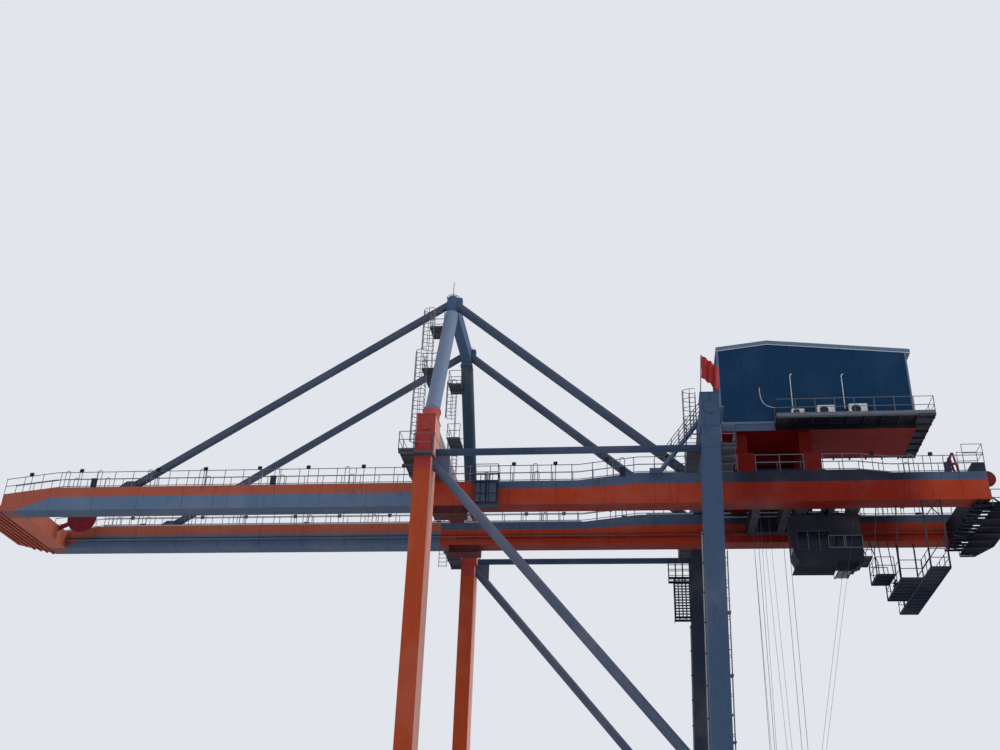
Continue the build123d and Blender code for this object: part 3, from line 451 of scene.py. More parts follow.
def done(piece, finish, body="crane", replaces=()):
    """Gives a piece its finish and its body, and hides the plain nodes it stands for."""
    piece.data.materials.clear()
    piece.data.materials.append(finish)
    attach(piece, body)
    if replaces:
        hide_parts(*replaces)
    return piece


deselect()
bpy.ops.mesh.primitive_plane_add(size=2 * floor_half, location=(0, 0, 0))
floor = settle("floor")
shape(bpy.ops.mesh.subdivide, number_cuts=3)
print("helpers and floor ready")

# %% [markdown]
# The girders carry two colours. The boom's outer face is orange over grey-blue and its root is
# orange. The landside half is grey-blue over orange, with a painted shadow of the house that turns
# it deep red and near black below the house. The undersides of the girders are darkened as painted
# shade, and the faces that look to the land are made lighter as painted sunlight. Each paint below
# is one aged finish. Where two colours meet, the line is worked out from the object coordinates,
# which are metres of the scene, so it stays sharp and straight.

# %% Paints of the steel
orange = rgb(160, 64, 36)
boom_orange = rgb(154, 82, 66)
bright_orange = rgb(158, 56, 34)
pink_orange = rgb(150, 56, 52)
grey_blue = rgb(86, 107, 134)
slate = rgb(60, 79, 106)
ledge_blue = rgb(66, 82, 108)
band_blue = rgb(72, 88, 110)
# Lighter copies of the orange and the grey-blue: painted sunlight for the faces that look to the land.
sunlit_orange = rgb(200, 150, 138)
sunlit_blue = rgb(142, 160, 184)

sunlit_share = 0.8
line_blur = 0.004
boom_line = ((-14.65, -13.4), (14.075, 14.525))
back_line = ((3.65, 5.5), (14.61, 14.715))
boom_tip_x, boom_root_x, root_line_z = -14.55, -1.2, 14.606
back_break_x, leg_head_z, collar_top_z, frame_shade_x = 1.1, 13.9, 16.11, 9.88


def sunlit_side(finish, paint, faded_and_sunlit):
    """A paint made lighter on the faces that look to the land: painted sunlight from the sun's side."""
    return finish.mix(finish.step(finish.facing("X"), 0.6, 0.9) * sunlit_share, paint, faded_and_sunlit)


def plain_paint(name, paint, dirt, rust, faded_and_sunlit=None):
    """One aged paint, with painted sunlight on the faces that look to the land where a second colour is
    given.
    """
    finish = Finish(name)
    return aged(finish, sunlit_side(finish, paint, faded_and_sunlit) if faded_and_sunlit else paint, dirt, rust)


def outer_face(finish):
    """1 on the girder faces that look away from the crane's middle."""
    return finish.step(finish.facing("Y") * finish.axis("Y"), 0.5, 0.6)


def underside(finish):
    """1 on the faces that look down."""
    return finish.step(0 - finish.facing("Z"), 0.7, 0.9)


def boom_paint():
    """Orange over grey-blue, the line running down and out towards the boom's tip."""
    finish = Finish("boom_paint")
    x, z = finish.axis("X"), finish.axis("Z")
    above = finish.step(z - finish.slope(x, *boom_line), -line_blur, line_blur)
    tip = finish.step(0 - x, -boom_tip_x, -boom_tip_x + 0.05)
    colour = finish.mix(above.maths("MAXIMUM", above, tip), grey_blue, boom_orange)
    root = finish.mix(finish.step(z, root_line_z, root_line_z + 2 * line_blur), bright_orange, ledge_blue)
    root = finish.mix(outer_face(finish), root, bright_orange)
    colour = finish.mix(finish.step(x, boom_root_x, boom_root_x + 0.01), colour, root)
    # Faces that look down are darkened towards slate: painted shade on the undersides.
    colour = finish.mix(underside(finish) * 0.6, colour, rgb(44, 56, 76))
    return aged(finish, colour, 0.55, 0.3, True)


def back_paint():
    """Grey-blue over orange, with a painted shadow of the house and dark red painted shade underneath."""
    finish = Finish("back_paint")
    x, z = finish.axis("X"), finish.axis("Z")
    landward = finish.step(x, back_break_x, back_break_x + 0.01)
    above = finish.step(z - finish.slope(x, *back_line), -line_blur, line_blur)
    above = above * (1 - outer_face(finish) * (1 - landward))
    # Painted shadow of the house over the girder: the orange turns deep red and the grey-blue near black.
    house_shadow = finish.step(x, 6.5, 9.0) * (1 - finish.step(x, 13.2, 14.6))
    lower = finish.mix(house_shadow * 0.8, bright_orange, rgb(104, 14, 8))
    upper = finish.mix(house_shadow * 0.85, ledge_blue, rgb(22, 20, 30))
    colour = finish.mix(above, lower, upper)
    # Faces that look down turn dark red: painted shade on the undersides.
    colour = finish.mix(underside(finish) * 0.8, colour, rgb(86, 14, 12))
    return aged(finish, colour, 0.6, 0.35, True)


def leg_paint():
    """Orange legs whose heads are a pinker, newer coat."""
    finish = Finish("leg_paint")
    colour = finish.mix(finish.step(finish.axis("Z"), leg_head_z, leg_head_z + 0.1), orange, pink_orange)
    # The faces that look to the land get painted sunlight.
    return aged(finish, sunlit_side(finish, colour, sunlit_orange), 0.6, 0.4)


def post_paint(name, paint):
    """Leaning posts on pinkish collars."""
    finish = Finish(name)
    above = finish.step(finish.axis("Z"), collar_top_z, collar_top_z + 0.02)
    return aged(finish, finish.mix(above, rgb(158, 70, 70), paint), 0.5, 0.3)


def frame_paint():
    """The house's floor frame: blue-grey sides over a dark red underside."""
    finish = Finish("house_frame_paint")
    shaded = finish.step(finish.axis("X"), frame_shade_x, frame_shade_x + 0.02)
    sides = finish.mix(shaded, band_blue, rgb(14, 12, 20))
    return aged(finish, finish.mix(underside(finish), sides, rgb(112, 6, 4)), 0.4, 0.3)


def steel_finish(name, colour, roughness, metal, dirt):
    """Bare or zinc-coated steel, clouded by spangle and handling."""
    finish = Finish(name)
    clouds = finish.noise(14.0, 5.0)
    cells = finish.add("TexVoronoi", {}, {"Vector": finish.place, "Scale": 42.0}, "Distance")
    stained = finish.step(finish.noise(3.0, 4.0), 0.45, 0.7) * dirt
    shade = finish.mix(clouds * 0.5, colour, rgb(40, 38, 38))
    shade = finish.mix(stained, shade, rust_colour)
    finish.set(Base_Color=shade, Roughness=roughness + clouds * 0.25, Metallic=metal - stained * metal)
    finish.bump(cells * 0.3 + clouds * 0.4, 0.001, 0.4)
    return finish.material


def cladding_finish():
    """Coated sheet with narrow ridges, rain streaks below the eaves and a little chalking."""
    finish = Finish("house_cladding_coat")
    ridge_pitch = 0.12
    across = (finish.axis("X") + finish.axis("Y")) / ridge_pitch
    wave = across.maths("PINGPONG", across, 0.5)
    streaks = finish.noise(1.0, 5.0, finish.scaled(9.0, 9.0, 0.9), 0.7)
    chalk = finish.step(finish.noise(0.7, 3.0), 0.42, 0.7) * 0.2
    shade = finish.mix(chalk * 0.6, rgb(16, 52, 84), rgb(70, 96, 130))
    shade = finish.mix(finish.step(streaks, 0.52, 0.8) * 0.5, shade, rgb(12, 22, 40))
    finish.set(Base_Color=shade, Roughness=0.45 + streaks * 0.25, Specular_IOR_Level=0.08)
    finish.bump(wave, 0.004, 0.35)
    return finish.material


def cloth_finish():
    """Plain red bunting, woven, darker in broad noise clouds as painted shade for its folds."""
    finish = Finish("red_bunting")
    fold_shade = finish.noise(3.0, 3.0)
    threads = {"Vector": finish.place, "Scale": 160.0}
    warp = finish.add("TexWave", {"wave_type": "BANDS", "bands_direction": "X"}, threads)
    weft = finish.add("TexWave", {"wave_type": "BANDS", "bands_direction": "Z"}, threads)
    # Painted shade for the folds, laid as broad noise clouds.
    shade = finish.mix(fold_shade * 0.5, rgb(158, 20, 32), rgb(92, 10, 20))
    shade = finish.mix((warp + weft) * 0.08, shade, rgb(220, 90, 90))
    finish.set(Base_Color=shade, Roughness=0.85 + fold_shade * 0.1)
    finish.bump(warp + weft, 0.0006, 0.6)
    return finish.material


def rubber_finish():
    """Dull black rubber, greyed in clouds."""
    finish = Finish("black_rubber_buffer")
    clouds = finish.noise(30.0, 6.0)
    shade = finish.mix(clouds, rgb(20, 20, 22), rgb(52, 50, 48))
    finish.set(Base_Color=shade, Roughness=0.75 + clouds * 0.2)
    finish.bump(clouds, 0.001, 0.5)
    return finish.material


def glass_finish():
    """Dark tinted cab glass with a film of dust."""
    finish = Finish("cab_glass")
    dust = finish.step(finish.noise(6.0, 5.0), 0.4, 0.8)
    shade = finish.mix(dust * 0.25, rgb(10, 16, 30), rgb(52, 62, 78))
    finish.set(Base_Color=shade, Roughness=0.12 + dust * 0.2, IOR=1.5, Specular_IOR_Level=0.16)
    finish.bump(dust, 0.0003, 0.2)
    return finish.material


boom_coat = boom_paint()
back_coat = back_paint()
leg_coat = leg_paint()
post_coat = post_paint("near_post_coat", rgb(104, 120, 144))
# The far post gets a darker copy of the near post's grey-blue: painted shade.
shaded_far_post_coat = post_paint("shaded_far_post_coat", rgb(50, 66, 84))
frame_coat = frame_paint()
# The last colour given to each of these paints is its painted sunlight, for the faces that look to the land.
orange_coat = plain_paint("orange_coat", orange, 0.55, 0.35, sunlit_orange)
blue_coat = plain_paint("grey_blue_coat", grey_blue, 0.5, 0.25, sunlit_blue)
slate_coat = plain_paint("slate_coat", slate, 0.5, 0.25, sunlit_blue)
# The far landside leg gets a darker copy of the slate paint: painted shade, as it stands in shadow.
shaded_far_leg_coat = plain_paint("shaded_far_leg_coat", rgb(38, 48, 64), 0.5, 0.3, sunlit_blue)
tan_coat = plain_paint("cross_beam_coat", rgb(110, 52, 44), 0.6, 0.4, rgb(140, 130, 138))
node_coat = plain_paint("node_coat", rgb(66, 86, 118), 0.5, 0.3)
tip_coat = plain_paint("boom_tip_coat", boom_orange, 0.6, 0.35)
trestle_coat = plain_paint("trestle_coat", rgb(92, 10, 8), 0.4, 0.3)
tie_coat = plain_paint("tie_coat", rgb(48, 64, 90), 0.5, 0.3)
stay_coat = plain_paint("stay_coat", rgb(66, 78, 98), 0.5, 0.3)
diagonal_coat = plain_paint("diagonal_coat", rgb(78, 88, 108), 0.5, 0.3)
red_coat = plain_paint("dark_red_coat", rgb(104, 10, 8), 0.5, 0.35)
maroon_coat = plain_paint("maroon_coat", rgb(108, 30, 40), 0.5, 0.4)
navy_coat = plain_paint("navy_coat", rgb(34, 42, 62), 0.4, 0.3)
seat_coat = plain_paint("girder_seat_coat", rgb(66, 18, 20), 0.5, 0.4)
black_coat = plain_paint("dark_platform_coat", rgb(24, 27, 40), 0.4, 0.4)
casing_coat = plain_paint("unit_casing_coat", rgb(26, 62, 96), 0.4, 0.2)
fascia_coat = plain_paint("roof_fascia_coat", rgb(92, 112, 136), 0.4, 0.15)
band_coat = plain_paint("base_band_coat", band_blue, 0.5, 0.2)
white_coat = plain_paint("white_pipe_coat", rgb(214, 216, 220), 0.4, 0.2)
yellow_coat = plain_paint("yellow_coat", rgb(200, 150, 40), 0.6, 0.5)
cab_coat = plain_paint("cab_coat", rgb(36, 37, 50), 0.4, 0.2)
# The rails' steel is coloured dark brown-red: painted shade, so that they read as the shadow line along the
# girders' ledges.
rail_shadow_coat = steel_finish("rail_steel_dark_as_shadow", rgb(44, 26, 28), 0.5, 0.2, 0.5)
pale_steel = steel_finish("pale_tray_steel", rgb(176, 182, 190), 0.45, 0.3, 0.2)
zinc_steel = steel_finish("dull_zinc", rgb(108, 116, 130), 0.42, 0.6, 0.25)
dark_steel = steel_finish("dark_grating_steel", rgb(78, 84, 96), 0.5, 0.4, 0.3)
worn_steel = steel_finish("worn_bare_steel", rgb(150, 142, 136), 0.34, 0.85, 0.5)
cladding_coat = cladding_finish()
red_bunting = cloth_finish()
black_buffer = rubber_finish()
cab_glass = glass_finish()
print("finishes ready")

# %% [markdown]
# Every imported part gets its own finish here. A part that a finer piece replaces later is in the
# list too, so that nothing plain is left if a piece should be taken out again.

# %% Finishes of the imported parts
coats = {}
for finish, parts in (
    (leg_coat, "waterside_leg_left waterside_leg_right"),
    (slate_coat, "landside_leg_left landside_sill_beam landside_cross_beam"),
    (shaded_far_leg_coat, "landside_leg_right"),
    (orange_coat, "waterside_sill_beam headblock"),
    (blue_coat, "equaliser_beams bogie_frames portal_beams house_stair"),
    (tie_coat, "tie_pipes"), (diagonal_coat, "diagonal_pipes"), (tan_coat, "waterside_cross_beam"),
    (post_coat, "a_frame_post_left"), (shaded_far_post_coat, "a_frame_post_right"), (node_coat, "apex_beam"),
    (stay_coat, "fore_stays back_stays stay_brackets"), (seat_coat, "girder_seats"),
    (boom_coat, "boom_girder_left boom_girder_right"), (tip_coat, "boom_end_beam"),
    (back_coat, "back_girder_left back_girder_right"),
    (black_coat, "back_end_beam end_platform trolley_frame"), (rail_shadow_coat, "trolley_rails"),
    (worn_steel, "rail_wheels trolley_wheels"), (black_buffer, "end_buffers"),
    (navy_coat, "raised_deck electrical_station hung_platforms"),
    (cladding_coat, "machinery_house"), (fascia_coat, "house_roof"), (frame_coat, "house_frame"),
    (trestle_coat, "house_trestles"), (casing_coat, "air_conditioners"), (cab_coat, "operator_cab"),
    (yellow_coat, "spreader"), (maroon_coat, "end_sheaves"), (red_bunting, "flag"),
    (red_coat, "nose_platform"),
    (dark_steel, "house_walkway hoist_ropes post_landings landside_galleries waterside_galleries"),
    (zinc_steel, "house_handrails flag_pole post_ladders"),
    (zinc_steel, "girder_inner_handrail_left girder_inner_handrail_right"),
    (zinc_steel, "girder_outer_handrail_left girder_outer_handrail_right"),
):
    coats.update(dict.fromkeys(parts.split(), finish))
for name, node in nodes.items():
    node.data.materials.clear()
    node.data.materials.append(coats[name])
print(len(coats), "parts painted")

# %% [markdown]
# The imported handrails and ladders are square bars, which is all that the physics needs. Real ones
# are round tube. Each square bar is a loose island of its part's mesh, so a round tube can be laid
# along every island: its middle line gives the run. Nothing has to be measured twice, and each
# tube stays exactly where its bar was.

# %% Round tubes in place of square bars
rail_radius = 12.5


def islands(node):
    """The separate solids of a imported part, each as a list of its corner places in millimetres."""
    mesh = bmesh.new()
    mesh.from_mesh(nodes[node].data)
    bmesh.ops.remove_doubles(mesh, verts=mesh.verts, dist=0.0001)
    mesh.verts.ensure_lookup_table()
    seen, found = set(), []
    for start in mesh.verts:
        if start in seen:
            continue
        stack, island = [start], []
        seen.add(start)
        while stack:
            vertex = stack.pop()
            x, y, z = vertex.co
            island.append(((x - drawing_shift) * 1000, y * 1000, z * 1000))
            for edge in vertex.link_edges:
                other = edge.other_vert(vertex)
                if other not in seen:
                    seen.add(other)
                    stack.append(other)
        found.append(island)
    mesh.free()
    return found


def extent(island):
    """The lowest and the highest corner of an island, and its size along each axis."""
    low, high = [[pick(axis) for axis in zip(*island)] for pick in (min, max)]
    return low, high, [b - a for a, b in zip(low, high)]


def middle_line(island):
    """The middle line of a long thin solid, a point at each place where its outline bends."""
    spans = extent(island)[2]
    along = spans.index(max(spans))
    stations = sorted({round(p[along]) for p in island})
    groups = [[p for p in island if abs(p[along] - place) < 1.5] for place in stations]
    return [tuple(sum(p[k] for p in group) / len(group) for k in range(3)) for group in groups]


def round_bars(node, name, radius):
    """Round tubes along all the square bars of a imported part, which they replace."""
    tubes = pipework(name, [middle_line(island) for island in islands(node)], radius)
    done(tubes, zinc_steel, replaces=[node])


for hand in ("left", "right"):
    for line in ("inner", "outer"):
        round_bars(f"girder_{line}_handrail_{hand}", f"{line}_handrail_tubes_{hand}", rail_radius)
round_bars("post_ladders", "post_ladder_tubes", 9.0)
print("round handrails and ladders in place")

# %% [markdown]
# Each gallery, landing and platform carries its own railing: posts, a knee rail and a top rail.
# One function makes it along any line of a deck's edge, so a railing can turn corners. Gratings
# are real bars too, because the camera looks up through them.

# %% Railings, gratings and ladders
rail_height = 550.0
post_step = 600.0
bar_depth = 25.0
channel_depth = 55.0
channel_width = 18.0
ladder_half = 115.0
rung_step = 150.0
hoop_step = 300.0
cage_reach = 330.0
cage_half = 165.6
cage_straps = (2, 4, 5, 6, 8)


def railing(name, lines, radius=rail_radius, height=rail_height):
    """Posts and two rails along lines of places on deck edges."""
    runs = []
    for line in lines:
        for level in (height / 2, height - radius):
            runs.append([(x, y, z + level) for x, y, z in line])
        for start, end in zip(line, line[1:]):
            count = max(1, round(math.dist(start, end) / post_step))
            for k in range(count + 1):
                x, y, z = (a + (b - a) * k / count for a, b in zip(start, end))
                runs.append([(x, y, z), (x, y, z + height - radius)])
    return pipework(name, runs, radius)


def grating(x_ends, y_ends, top, step=25.0, bearer_step=560.0, name="grating"):
    """Bars across a deck, bearers under them and a channel round the edge."""
    (x0, x1), (y0, y1) = sorted(x_ends), sorted(y_ends)
    long_x = x1 - x0 > y1 - y0
    start, length = (x0, x1 - x0) if long_x else (y0, y1 - y0)
    foot = top - channel_depth

    def cross(first, last, low, high):
        """One bar across the deck, between two places along it."""
        return bar((first, y0, low), (last, y1, high)) if long_x else bar((x0, first, low), (x1, last, high))

    pace = (step, 0, 0) if long_x else (0, step, 0)
    pieces = [row(cross(start, start + 5, top - bar_depth, top), pace, int(length / step))]
    for low, high in (((x0, y0), (x1, y0 + channel_width)), ((x0, y1 - channel_width), (x1, y1)),
                      ((x0, y0), (x0 + channel_width, y1)), ((x1 - channel_width, y0), (x1, y1))):
        pieces.append(bar((*low, foot), (*high, top + 2), 2.0))
    count = max(1, round(length / bearer_step))
    for k in range(1, count):
        place = start + length * k / count
        pieces.append(cross(place - 12, place + 12, foot, top - bar_depth))
    return join(name, pieces)


def caged_run(x, y, low, high, start=1100.0):
    """Hoops and straps of a ladder cage that stands out towards the water, as runs of round bar."""
    count = max(2, round((high - low - start) / hoop_step) + 1)
    hoops = []
    for k in range(count):
        z = low + start + (high - low - start) * k / (count - 1)
        turns = [math.pi * step / 8 for step in range(9)]
        arch = [(x - math.sin(a) * cage_reach - 40, y - math.cos(a) * cage_half, z) for a in turns]
        hoops.append([(x, y - ladder_half, z), *arch, (x, y + ladder_half, z)])
    return hoops + [[hoop[k] for hoop in hoops] for k in cage_straps]


def ladder_runs(x, y, low, high, facing, lean=0.0):
    """Two stiles and the rungs between them; facing is 1 for a climber's back towards the land."""
    ends = [y - facing * ladder_half, y + facing * ladder_half]
    runs = [[(x, end, low), (x + lean * (high - low), end, high)] for end in ends]
    for k in range(1, int((high - low) / rung_step) + 1):
        z = low + rung_step * k
        if z < high:
            runs.append([(x + lean * (z - low), end, z) for end in ends])
    return runs


print("railing, grating and ladder helpers ready")

# %% [markdown]
# The ladders up the leaning posts stand inside cages of flat hoops. The landside leg has two more
# ladders: a caged one on its waterside face, from the gallery to the leg's head, and a long open
# one down the face that looks to the land, held off the leg by short brackets.

# %% Cages and leg ladders
cage_runs = []
for side in (-1, 1):
    cage_runs += caged_run(-450, side * 3365, 14600, 18870)
    cage_runs += caged_run(-450, side * 2560, 18320, 20900)
done(pipework("post_ladder_cages", cage_runs, 10.0), dark_steel)

leg_lean = 225.0 / 10885.0
leg_half = 265.0


def landside_face(z, side):
    """The landside leg's waterside (-1) or landside (1) face at a height, as X."""
    return 8000.0 + leg_lean * (z - 5325.0) + side * leg_half


head_runs = []
for side in (-1, 1):
    head_runs += ladder_runs(7850, side * 4610, 14600, 16480, -1)
    head_runs += caged_run(7850, side * 4610, 14600, 16560, start=500)
    head_runs += ladder_runs(landside_face(5400, 1) + 80, side * 4810, 5400, 11600, 1, leg_lean)
    for z in range(5700, 11600, 500):
        for y in (side * 4810 - ladder_half, side * 4810 + ladder_half):
            head_runs.append([(landside_face(z, 1) - 5, y, z), (landside_face(z, 1) + 80, y, z)])
done(pipework("landside_leg_ladders", head_runs, 9.0), dark_steel)
print("cages and leg ladders in place")

# %% [markdown]
# The machinery house is clad in ridged sheet. The ridges stand only a finger's width proud, but
# their shadows are what makes the wall read as sheet metal, so each one is modelled: one ridge is
# made with chamfered edges, then repeated along the walls and stretched to the roof above it.

# %% House cladding
house_side = 1100.0
house_x = (8860.0, 14900.0)
roof_line = [(8860.0, 19840.0), (10500.0, 20050.0), (14900.0, 19600.0)]
wall_foot = 17170.0
rib_pitch = 120.0
rib_proud = 14.0
rib_half = 22


def level_at(line, x):
    """The height of a bent line, given as places with their heights, at a place along it."""
    for (x0, z0), (x1, z1) in zip(line, line[1:]):
        if x0 <= x <= x1:
            return z0 + (z1 - z0) * (x - x0) / (x1 - x0)
    return line[-1][1]


def ridges(low, high, places, wall_x=None):
    """One ridge, repeated along a wall; an end wall has one place along the house for all of them."""
    ridge = bar((*low, wall_foot), (*high, wall_foot + 1000), 5.0)
    foot = at(0, 0, wall_foot)
    moves = []
    for place in places:
        length = level_at(roof_line, wall_x or place) - wall_foot - 25
        shift = at(0 if wall_x else place, place if wall_x else 0, wall_foot)
        stretch = Matrix.Diagonal((1, 1, length / 1000, 1))
        moves.append(Matrix.Translation(shift) @ stretch @ Matrix.Translation(-foot))
    return spread(ridge, moves)


first_x, last_x = house_x
first_y = 50 - house_side
long_places = [first_x + 60 + rib_pitch * k for k in range(int((last_x - first_x - 60) / rib_pitch) + 1)]
short_places = [first_y + rib_pitch * k for k in range(int((house_side - first_y) / rib_pitch) + 1)]
walls = [
    ridges((-rib_half, -house_side - rib_proud), (rib_half, 2 - house_side), long_places),
    ridges((-rib_half, house_side - 2), (rib_half, house_side + rib_proud), long_places),
    ridges((first_x - rib_proud, -rib_half), (first_x + 2, rib_half), short_places, first_x),
    ridges((last_x - 2, -rib_half), (last_x + rib_proud, rib_half), short_places, last_x),
]
done(join("house_cladding_ridges", walls), cladding_coat)

trims = []
for x, before, after in ((first_x, 26, 40), (last_x, 40, 16)):
    top = level_at(roof_line, x) - 5
    trims += twins((x - before, house_side - 30, wall_foot - 20), (x + after, house_side + 17.6, top), 4.0)
trims += twins((first_x - 5, house_side, wall_foot - 25), (last_x + 5, house_side + 20, wall_foot + 45), 3.0)
done(join("house_corner_trims", trims), fascia_coat)

louvres = []
louvre_y = (house_side - 2, house_side + 32)
for x in (12500.0, 13900.0):
    for z in (17700, 18460):
        louvres.append(bar((x - 330, louvre_y[0], z), (x + 330, louvre_y[1], z + 40), 3.0))
    for edge in (x - 330, x + 290):
        louvres.append(bar((edge, louvre_y[0], 17700), (edge + 40, louvre_y[1], 18500), 3.0))
    slat = bar((x - 300, house_side + 4, 17750), (x + 300, house_side + 28, 17768), 2.0)
    louvres.append(row(slat, (0, 0, 50), 14))
done(join("house_louvres", louvres), band_coat)

door = [bar((14905, -330, 17170), (14930, 330, 18240), 6.0),
        bar((14928, -290, 17210), (14938, 290, 18200), 4.0),
        bar((14936, 190, 17640), (14960, 230, 17720), 4.0),
        row(bar((14936, -300, 17300), (14950, -262, 17380), 3.0), (0, 0, 640), 2)]
done(join("house_end_door", door), fascia_coat)
print(len(long_places) * 2 + len(short_places) * 2, "ridges on the house")

# %% [markdown]
# Below the eaves the roof sheet has a folded drip edge, and seams run down its slope. Two white
# pipes climb the near wall from the outdoor units, and a loose white cable hangs beside them.

# %% Roof seams, wall pipes and wall cable
seams = []
for k in range(13):
    x = 9000 + 480 * k
    z = level_at(roof_line, x) + 150
    seams.append(bar((x - 9, -1125, z - 14), (x + 9, 1125, z - 1), 2.0))
done(join("roof_seams", seams), fascia_coat)
drip = two_sides([[(8835, 1127, 19838), (10500, 1127, 20052), (15045, 1127, 19592)]])
done(pipework("roof_drip_edges", drip, 9.0), white_coat)

pipe_y = -1134.0
white_runs, clips = [], []
for x, foot, head in ((11150.0, 17560.0, 18900.0), (12780.0, 17600.0, 18850.0)):
    white_runs.append([(x, pipe_y, foot), (x, pipe_y, head - 60), (x + 20, pipe_y - 8, head - 10),
                       (x + 60, pipe_y - 8, head), (x + 60, pipe_y + 34, head)])
    for k in range(4):
        z = foot + 150 + (head - foot - 300) * k / 3
        clips.append(bar((x - 24, pipe_y - 18, z), (x + 24, -1095, z + 18), 2.0))
done(pipework("wall_pipes", white_runs, 14.0, 8), white_coat)
done(join("wall_pipe_clips", clips), zinc_steel)

cable = [(10145, -1112, 18440), (10150, -1114, 18200), (10175, -1114, 18020), (10240, -1114, 17870),
         (10340, -1114, 17780), (10480, -1114, 17720), (10640, -1114, 17700)]
done(pipework("house_wall_cable", [cable], 9.0, 8), white_coat)
print("roof seams, wall pipes and wall cable in place")

# %% [markdown]
# The outdoor units of the cooling stand on the gallery on small feet. Each is a folded casing with
# a round fan grille of wire rings, a side louvre and two copper pipes that go into the wall.

# %% Outdoor cooling units
unit_sizes = [(11270.0, 400.0, 260.0), (12150.0, 540.0, 370.0), (13150.0, 560.0, 400.0)]
unit_near, unit_far = -1350.0, -1160.0
gallery_z = 17150.0
foot_z = gallery_z + 160
casings, grilles, wires, feet = [], [], [], []
for x, length, height in unit_sizes:
    half = length / 2
    top = gallery_z + height + 125
    casings.append(bar((x - half, unit_near + 6, foot_z), (x + half, unit_far, top), 12.0))
    casings.append(bar((x - half - 4, unit_near + 2, top - 22), (x + half + 4, unit_far + 4, top), 4.0))
    foot_x = x - length * 0.36
    foot = bar((foot_x, unit_near + 10, gallery_z), (foot_x + 40, unit_far, foot_z + 4), 3.0)
    feet.append(row(foot, (length * 0.72 - 40, 0, 0), 2))
    middle, fan, z = x - length * 0.12, height * 0.36, foot_z + (height - 35) / 2
    grilles.append(drum((middle, unit_near + 5, z), (middle, unit_near + 12, z), fan, 28))
    for share in (0.18, 0.34, 0.5, 0.66, 0.82, 1.0):
        wires.append(circle((middle, unit_near + 1, z), fan * share, 20))
    centre = (middle, unit_near + 2, z)
    wires += [[centre, tip] for tip in circle(centre, fan, 8)[:-1]]
    slot_x = x + length * 0.3
    slot_end = slot_x + length * 0.14
    slit = bar((slot_x, unit_near + 2, foot_z + 30), (slot_end, unit_near + 8, foot_z + 37), 1.5)
    casings.append(row(slit, (0, 0, 16), int((height - 110) / 16)))
    for reach, y, z in ((40, unit_far - 60, foot_z + 60), (55, unit_far - 80, foot_z + 90)):
        bend = x + half + reach
        wires.append([(x + half, y, z), (bend, y + 10, z), (bend + 10, -1110, z + 60)])
unit_casings = join("cooling_unit_casings", casings)
done(unit_casings, white_coat, replaces=["air_conditioners"])
done(join("cooling_unit_fans", grilles), black_coat)
done(pipework("cooling_unit_wires", wires, 4.0, 4), dark_steel)
done(join("cooling_unit_feet", feet), zinc_steel)
print(len(unit_sizes), "cooling units")

# %% [markdown]
# The gallery round the house hangs on brackets from the floor frame. Its outer edge is a pale
# channel that also serves as toe board, and its floor is open grating, so the land end shows the
# sky between its bearers. The railing above it is a little taller than the rest.

# %% House gallery
outer_y = 1620.0
start_x, deck_x, end_x = 10550.0, 14900.0, 15420.0
decks = [grating((start_x, deck_x), (-outer_y, -house_side), gallery_z),
         grating((start_x, deck_x), (house_side, outer_y), gallery_z),
         grating((deck_x, end_x), (-outer_y, outer_y), gallery_z, 30.0, 460.0)]
done(join("house_gallery_grating", decks), dark_steel, replaces=["house_walkway"])

low_z, high_z = gallery_z - 25, gallery_z + 120
edges = twins((start_x, outer_y - 14, low_z), (end_x, outer_y, high_z), 4.0)
edges.append(bar((end_x - 14, -outer_y, low_z), (end_x, outer_y, high_z), 4.0))
edges += twins((start_x, house_side, low_z), (start_x + 14, outer_y, high_z), 4.0)
done(join("house_gallery_edge", edges), zinc_steel)

arms = []
low_z, high_z = gallery_z - 130, gallery_z - 55
for k in range(9):
    x = start_x + 60 + 530 * k
    arms += twins((x - 22, house_side, low_z), (x + 22, 1600, high_z), 4.0)
for k in range(7):
    y = -1500 + 500 * k
    arms.append(bar((deck_x, y - 22, low_z), (end_x - 20, y + 22, high_z), 4.0))
arms += twins((start_x + 20, 1105, gallery_z - 54), (deck_x, 1600, gallery_z - 48), 1.0)
done(join("house_gallery_arms", arms), black_coat)

near_half = [(start_x + 12, -1120), (start_x + 12, 12 - outer_y), (end_x - 12, 12 - outer_y)]
far_half = [(x, -y) for x, y in reversed(near_half)]
gallery_line = [(x, y, gallery_z) for x, y in near_half + far_half]
gallery_rail = railing("house_gallery_rail", [gallery_line], 12.0, 620.0)
done(gallery_rail, zinc_steel, replaces=["house_handrails"])
print("house gallery in place")

# %% [markdown]
# Under the house, a plate girder on the far side carries the winches' weight. Stiffeners show on
# it as ribs, and a red beam runs along its top. Low beams lie along the tops of the main girders,
# and the trestles stand on bolted foot plates.

# %% Girders under the house
girders = []
plates = ((10, 15690, 16590, 2.0), (110, 15686, 15716, 3.0), (60, 16560, 16592, 3.0))
for half, low_z, high_z, ease in plates:
    girders.append(bar((8900, 1000 - half, low_z), (11860, 1000 + half, high_z), ease))
girders.append(row(bar((9150, 910, 15710), (9168, 1090, 16570), 2.0), (540, 0, 0), 6))
girders += twins((8500, 1500, 15088), (11860, 1620, 15330), 6.0)
done(join("house_support_girders", girders), black_coat)

edge_beam = bar((8900, 985, 16580), (11860, 1015, 16899), 3.0)
done(edge_beam, red_coat)

pads = []
for x in (9450.0, 11450.0):
    for y in (-1772, 1772):
        pads.append(block(x, y, 15086, 15112, 320, 260, 4.0))
        bolt = drum((x - 285, y - 220, 15108), (x - 285, y - 220, 15134), 17.0, 6)
        pads.append(spread(bolt, [(190 * a, 440 * b, 0) for a in range(4) for b in range(2)]))
done(join("trestle_foot_plates", pads), red_coat)
print("support girders in place")

